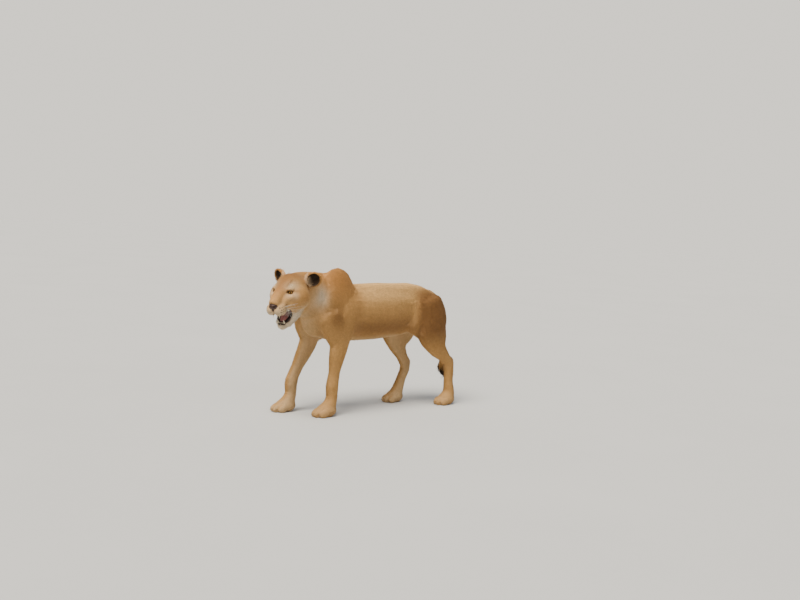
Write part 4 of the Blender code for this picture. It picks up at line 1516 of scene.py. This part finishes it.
def skin_material():
    """Streaked like the coat, with wet pebbled leather on the nose, lips and mouth."""
    made, nodes, links, shader = principled("skin", Specular_IOR_Level=0.35)
    grain = add_grain(nodes, links, shader, 260.0, 0.20)
    links.new(read_attribute(nodes, "marking").outputs["Color"], grain.inputs["Colour"])
    wet = read_attribute(nodes, "wetness")
    gloss = add(nodes, "MapRange", To_Min=0.72, To_Max=0.40)
    links.new(wet.outputs["Fac"], gloss.inputs["Value"])
    links.new(gloss.outputs["Result"], shader.inputs["Roughness"])
    pebbles = add(nodes, "TexVoronoi", Scale=620.0)
    links.new(add(nodes, "TexCoord").outputs["Object"], pebbles.inputs["Vector"])
    height = add(nodes, "Mix")
    links.new(wet.outputs["Fac"], height.inputs["Factor"])
    links.new(grain.outputs["Height"], height.inputs["A"])
    links.new(pebbles.outputs["Distance"], height.inputs["B"])
    add_bump(nodes, links, shader, height.outputs["Result"], 0.0006, 0.45)
    return made


def eye_material():
    """Amber iris with a round pupil, by the distance from the middle of the eye's own map."""
    settings = bpy.context.scene.lioness_eyes
    made, nodes, links, shader = principled(
        "eye_glass", Roughness=0.10, Specular_IOR_Level=0.12, Coat_Weight=0.15, Coat_Roughness=0.02)
    layout = add(nodes, "UVMap")
    layout.uv_map = "OFBake"
    centre = add(nodes, "VectorMath")
    centre.operation = "DISTANCE"
    centre.inputs[1].default_value = (0.5, 0.5, 0.0)
    links.new(layout.outputs["UV"], centre.inputs[0])
    fibres = add(nodes, "TexNoise", Scale=38.0, Detail=4.0)
    links.new(layout.outputs["UV"], fibres.inputs["Vector"])
    colour = add(nodes, "ValToRGB")
    steps = colour.color_ramp
    pupil = settings.pupil_radius / (2 * EYE_RADIUS)
    iris = settings.iris_radius / (2 * EYE_RADIUS)
    amber = np.array(settings.amber)
    steps.elements[0].position = pupil
    steps.elements[0].color = (0.001, 0.001, 0.001, 1)
    steps.elements[1].position = 1.0
    steps.elements[1].color = (0.06, 0.035, 0.025, 1)
    for position, shade in ((pupil + 0.012, amber * 0.75), (pupil + 0.06, amber * 1.25),
                            (iris - 0.05, amber), (iris, amber * 0.18)):
        steps.elements.new(position).color = (*shade, 1)
    links.new(centre.outputs["Value"], colour.inputs["Fac"])
    streak = add(nodes, "Mix")
    streak.data_type = "RGBA"
    streak.blend_type = "MULTIPLY"
    streak.inputs["Factor"].default_value = 0.55
    links.new(colour.outputs["Color"], streak.inputs[6])
    links.new(fibres.outputs["Color"], streak.inputs[7])
    links.new(streak.outputs[2], shader.inputs["Base Color"])
    return made


def plain_finish(name, colour, *, roughness, scale, strength, depth):
    """A colour with fine mottling of this scale and strength, and a bump of this depth."""
    made, nodes, links, shader = principled(name, Roughness=roughness, Specular_IOR_Level=0.5)
    grain = add_grain(nodes, links, shader, scale, strength)
    set_inputs(grain, Colour=(*colour, 1))
    add_bump(nodes, links, shader, grain.outputs["Height"], depth)
    return made


# -------- eyes, mouth, claws, whiskers

class LIONESS_OT_eyes(bpy.types.Operator):
    """Set the two glossy eyes behind their lids"""
    bl_idname = "lioness.eyes"
    bl_label = "Eyes"

    def execute(self, context):
        finish = eye_material()
        for name, side in SIDES.items():
            bpy.ops.object.select_all(action="DESELECT")
            bpy.ops.mesh.primitive_uv_sphere_add(
                segments=48, ring_count=32, radius=EYE_RADIUS / HEAD_SCALE, calc_uvs=False)
            ball = context.object
            ball.name = "eyeball_" + name
            points = positions(ball)
            iris = context.scene.lioness_eyes.iris_radius / HEAD_SCALE
            rim = np.hypot(points[:, 0], points[:, 1])
            front = points[:, 2] > 0
            points[:, 2] += front * 0.0012 * (1 - ramp(rim, 0.4 * iris, 1.15 * iris))
            set_positions(ball, points)
            layout = ball.data.uv_layers.new(name="OFBake")
            spots = 0.5 + points[:, :2] / (2 * EYE_RADIUS / HEAD_SCALE)
            corners = read(ball.data.loops, "vertex_index", 1, np.int32)[:, 0]
            write(layout.data, "uv", spots[corners])
            gaze = Matrix.Rotation(0.12 * side, 4, "Y")
            ball.data.transform(eye_matrix(side) @ gaze)
            if eye_matrix(side).determinant() < 0:
                ball.data.flip_normals()
            choose(ball)
            bpy.ops.object.shade_smooth()
            ball.data.materials.append(finish)
            settle(ball, ("eye_" + name,))
        return {"FINISHED"}


def cone_tooth(base, tip, radius, place, bend=0.0):
    """One curved tooth or claw as a closed, tapered mesh."""
    bpy.ops.object.select_all(action="DESELECT")
    bpy.ops.mesh.primitive_cone_add(
        vertices=16, radius1=1, radius2=0.06, depth=2, end_fill_type="NGON")
    tooth = bpy.context.object
    bpy.ops.object.mode_set(mode="EDIT")
    bpy.ops.mesh.subdivide(number_cuts=3)
    bpy.ops.object.mode_set(mode="OBJECT")
    base, tip = Vector(base), Vector(tip)
    points = positions(tooth)
    share = (points[:, 2] + 1) / 2
    swell = 1 + 0.08 * np.sin(math.pi * share)
    points[:, :2] *= radius * swell[:, None]
    points[:, 1] += bend * np.sin(math.pi * share)
    points[:, 2] = share * (tip - base).length
    set_positions(tooth, points)
    turn = (tip - base).to_track_quat("Z", "Y").to_matrix().to_4x4()
    tooth.data.transform(place @ Matrix.Translation(base) @ turn)
    choose(tooth)
    bpy.ops.object.shade_smooth()
    return tooth


def gather(name, pieces, finish, replaced=()):
    """Joins like pieces into one object and settles it."""
    join(*pieces)
    whole = pieces[0]
    whole.name = name
    whole.data.materials.clear()
    whole.data.materials.append(finish)
    settle(whole, replaced)


class LIONESS_OT_teeth(bpy.types.Operator):
    """Grow the canines, incisors and cheek teeth of both jaws"""
    bl_idname = "lioness.teeth"
    bl_label = "Teeth"

    def execute(self, context):
        finish = plain_finish(
            "tooth", (0.62, 0.53, 0.36), roughness=0.30, scale=240.0, strength=0.14,
            depth=0.0002)
        teeth = []
        # heights of the gum and the canine's tip, places of the canine and first cheek tooth
        for place, gum, crown, canine, back in (
            (head_matrix(), -0.108, -0.143, 0.090, 0.056),
            (jaw_matrix(), -0.124, -0.094, 0.078, 0.045),
        ):
            rise = math.copysign(1, crown - gum)
            for side in SIDES.values():
                teeth.append(cone_tooth(
                    (0.0215 * side, canine, gum), (0.0225 * side, canine + 0.003, crown),
                    0.0056, place, 0.0020 * rise))
                for step in range(3):
                    across = (0.0028 + 0.0054 * step) * side
                    ahead = canine + 0.007 - 0.0015 * step
                    teeth.append(cone_tooth(
                        (across, ahead, gum + 0.001 * rise), (across, ahead, gum + 0.0105 * rise),
                        0.0030, place))
                    across = (0.0290 + 0.004 * step) * side
                    ahead = back - 0.020 * step
                    teeth.append(cone_tooth(
                        (across, ahead, gum), (across, ahead, gum + 0.014 * rise), 0.0070, place))
        gather("teeth", teeth, finish)
        return {"FINISHED"}


class LIONESS_OT_tongue(bpy.types.Operator):
    """Lay the tongue in the lower jaw, hollowed along its middle"""
    bl_idname = "lioness.tongue"
    bl_label = "Tongue"

    def execute(self, context):
        bpy.ops.object.select_all(action="DESELECT")
        bpy.ops.mesh.primitive_uv_sphere_add(segments=40, ring_count=28, radius=1)
        tongue = context.object
        points = positions(tongue)
        x, y, z = points.T
        groove = 0.30 * np.exp(-(x / 0.22) ** 2) * (z > 0)
        droop = 0.10 * ramp(y, 0.2, 1.0)
        points = np.column_stack((
            0.0300 * x * (1 - 0.10 * ramp(y, 0.3, 1.0)),
            0.020 + 0.068 * y,
            -0.122 + 0.0120 * (z - groove - droop * 3) + 0.0035 * np.cos(2.2 * y),
        ))
        set_positions(tongue, points)
        tongue.data.transform(jaw_matrix())
        choose(tongue)
        bpy.ops.object.shade_smooth()
        finish = plain_finish(
            "tongue_flesh", (0.52, 0.20, 0.18), roughness=0.38, scale=700.0, strength=0.14,
            depth=0.0006)
        gather("tongue_body", [tongue], finish, ("tongue",))
        return {"FINISHED"}


class LIONESS_OT_claws(bpy.types.Operator):
    """Tuck the tips of the claws between the toes' hair"""
    bl_idname = "lioness.claws"
    bl_label = "Claws"

    def execute(self, context):
        finish = plain_finish(
            "claw", (0.20, 0.15, 0.11), roughness=0.35, scale=160.0, strength=0.25,
            depth=0.0003)
        claws = []
        for x, y, size in PAWS.values():
            for across, ahead in TOES:
                base = Vector((x + across * size, y + (ahead - 0.028) * size, 0.026))
                tip = base + Vector((across * 0.08, -0.0190, -0.0125))
                claws.append(cone_tooth(base, tip, 0.0034, Matrix(), 0.0022))
        gather("claws", claws, finish)
        return {"FINISHED"}


class LIONESS_OT_whiskers(bpy.types.Operator):
    """Set the white whiskers of the lips and the few stiff hairs above the eyes"""
    bl_idname = "lioness.whiskers"
    bl_label = "Whiskers"

    def execute(self, context):
        rng = np.random.default_rng(context.scene.lioness_coat.seed + 2)
        place = head_matrix()
        strands = []
        for side in SIDES.values():
            for row in range(4):
                for spot in range(4):
                    root = Vector((
                        0.0280 + 0.0100 * spot, 0.104 - 0.0185 * spot, -0.078 - 0.0115 * row))
                    length = 0.055 + 0.060 * rng.random()
                    rise = 0.16 - 0.16 * row + 0.1 * rng.random()
                    aim = Vector((0.60, -0.62 - 0.08 * spot, rise))
                    strands.append(self.strand(root, aim, length, side, place))
            for hair in range(4):
                root = Vector((0.048 + 0.006 * hair, 0.008, 0.034))
                aim = Vector((0.30 + 0.12 * hair, 0.10, 0.90))
                strands.append(self.strand(root, aim, 0.035 + 0.01 * rng.random(), side, place))
        finish = plain_finish(
            "whisker", (0.82, 0.79, 0.72), roughness=0.35, scale=300.0, strength=0.05,
            depth=0.0001)
        gather("whiskers", strands, finish)
        return {"FINISHED"}

    def strand(self, root, aim, length, side, place):
        """A tapered, drooping hair as one narrow tube."""
        aim = aim.normalized()
        line = bpy.data.curves.new("strand", "CURVE")
        line.dimensions = "3D"
        line.bevel_depth = 0.00042
        line.bevel_resolution = 1
        line.use_fill_caps = True
        spline = line.splines.new("POLY")
        count = 9
        spline.points.add(count - 1)
        for index, point in enumerate(spline.points):
            share = index / (count - 1)
            spot = root + aim * length * share + Vector((0, -0.10, -0.16)) * length * share ** 2
            spot.x *= side
            point.co = (*spot, 1.0)
            point.radius = 1 - 0.85 * share
        choose(add_object("strand", line))
        bpy.ops.object.convert(target="MESH")
        hair = bpy.context.object
        hair.data.transform(place)
        return hair


# -------- the stage

class LIONESS_OT_stage(bpy.types.Operator):
    """Set the floor, the soft lights and the camera"""
    bl_idname = "lioness.stage"
    bl_label = "Stage"

    def execute(self, context):
        settings = context.scene.lioness_stage
        bpy.ops.object.select_all(action="DESELECT")
        bpy.ops.mesh.primitive_plane_add(size=FLOOR_SIZE)
        floor = context.object
        floor.name = "floor"
        floor.data.materials.append(self.floor_finish(settings.floor_colour))
        camera = bpy.data.cameras.new("camera")
        camera.lens = CAMERA_LENS
        camera.sensor_width = CAMERA_SENSOR
        viewer = add_object("camera", camera)
        context.scene.camera = viewer
        bearing = settings.camera_bearing
        place = Vector((
            math.sin(bearing) * settings.camera_distance,
            CHEST_Y - math.cos(bearing) * settings.camera_distance,
            settings.camera_height,
        )) + TO_MIDDLE
        heading = Matrix.Rotation(CAMERA_HEADING - math.radians(90), 4, "Z")
        pitch = Matrix.Rotation(math.radians(90) - CAMERA_PITCH, 4, "X")
        roll = Matrix.Rotation(CAMERA_ROLL, 4, "Z")
        viewer.matrix_world = Matrix.Translation(place) @ heading @ pitch @ roll
        world = bpy.data.worlds.new("world")
        context.scene.world = world
        self.set_world(world, settings.floor_colour)
        for sun in SUNS:
            self.add_sun(*sun)
        return {"FINISHED"}

    def add_sun(self, name, bearing, rise, strength, colour, spread):
        """A broad even light from the bearing round the animal and the rise above the floor."""
        light = bpy.data.lights.new(name, "SUN")
        light.energy = strength
        light.color = colour
        light.angle = math.radians(spread)
        lamp = add_object(name, light)
        bearing, rise = math.radians(bearing), math.radians(rise)
        level = math.cos(rise)
        toward = Vector((
            math.sin(bearing) * level, -math.cos(bearing) * level, math.sin(rise)))
        lamp.location = toward * 6
        lamp.rotation_euler = toward.to_track_quat("Z", "Y").to_euler()

    def floor_finish(self, colour):
        made, nodes, links, shader = principled(
            "floor_paint", Roughness=1.0, Specular_IOR_Level=0.0)
        grain = add_grain(nodes, links, shader, 0.7, 0.02)
        set_inputs(grain, Colour=(*colour, 1))
        return made

    def set_world(self, world, floor):
        """An even pale world, which the camera sees in the tone of the lit floor."""
        world.use_nodes = True
        nodes, links = world.node_tree.nodes, world.node_tree.links
        light = nodes["Background"]
        light.inputs[0].default_value = (*WORLD_COLOUR, 1)
        light.inputs[1].default_value = WORLD_STRENGTH
        lit = np.array(WORLD_COLOUR) * WORLD_STRENGTH
        for _, _, rise, strength, colour, _ in SUNS:
            lit = lit + np.array(colour) * strength * math.sin(math.radians(rise)) / math.pi
        seen = nodes.new("ShaderNodeBackground")
        seen.inputs[0].default_value = (*(lit * np.array(floor)), 1)
        path = nodes.new("ShaderNodeLightPath")
        both = nodes.new("ShaderNodeMixShader")
        links.new(path.outputs["Is Camera Ray"], both.inputs[0])
        links.new(light.outputs[0], both.inputs[1])
        links.new(seen.outputs[0], both.inputs[2])
        links.new(both.outputs[0], nodes["World Output"].inputs["Surface"])


SETTINGS = {
    "lioness_skin": LionessSkinSettings,
    "lioness_coat": LionessCoatSettings,
    "lioness_eyes": LionessEyeSettings,
    "lioness_stage": LionessStageSettings,
}
STEPS = (
    LIONESS_OT_skin, LIONESS_OT_eyes, LIONESS_OT_teeth, LIONESS_OT_tongue, LIONESS_OT_claws,
    LIONESS_OT_whiskers, LIONESS_OT_coat, LIONESS_OT_long_hair, LIONESS_OT_stage,
)


class LIONESS_PT_panel(bpy.types.Panel):
    """Lists the steps in the order they run"""
    bl_idname = "LIONESS_PT_panel"
    bl_label = "Lioness"
    bl_space_type = "VIEW_3D"
    bl_region_type = "UI"
    bl_category = "Lioness"

    def draw(self, context):
        for step in STEPS:
            self.layout.operator(step.bl_idname)


def register():
    for kind in (*SETTINGS.values(), *STEPS, LIONESS_PT_panel):
        bpy.utils.register_class(kind)
    for name, kind in SETTINGS.items():
        setattr(bpy.types.Scene, name, bpy.props.PointerProperty(type=kind))


def unregister():
    for name in SETTINGS:
        delattr(bpy.types.Scene, name)
    for kind in (*SETTINGS.values(), *STEPS, LIONESS_PT_panel):
        bpy.utils.unregister_class(kind)


def main():
    register()
    for step in STEPS:
        group, name = step.bl_idname.split(".")
        getattr(getattr(bpy.ops, group), name)()


if __name__ == "__main__":
    main()
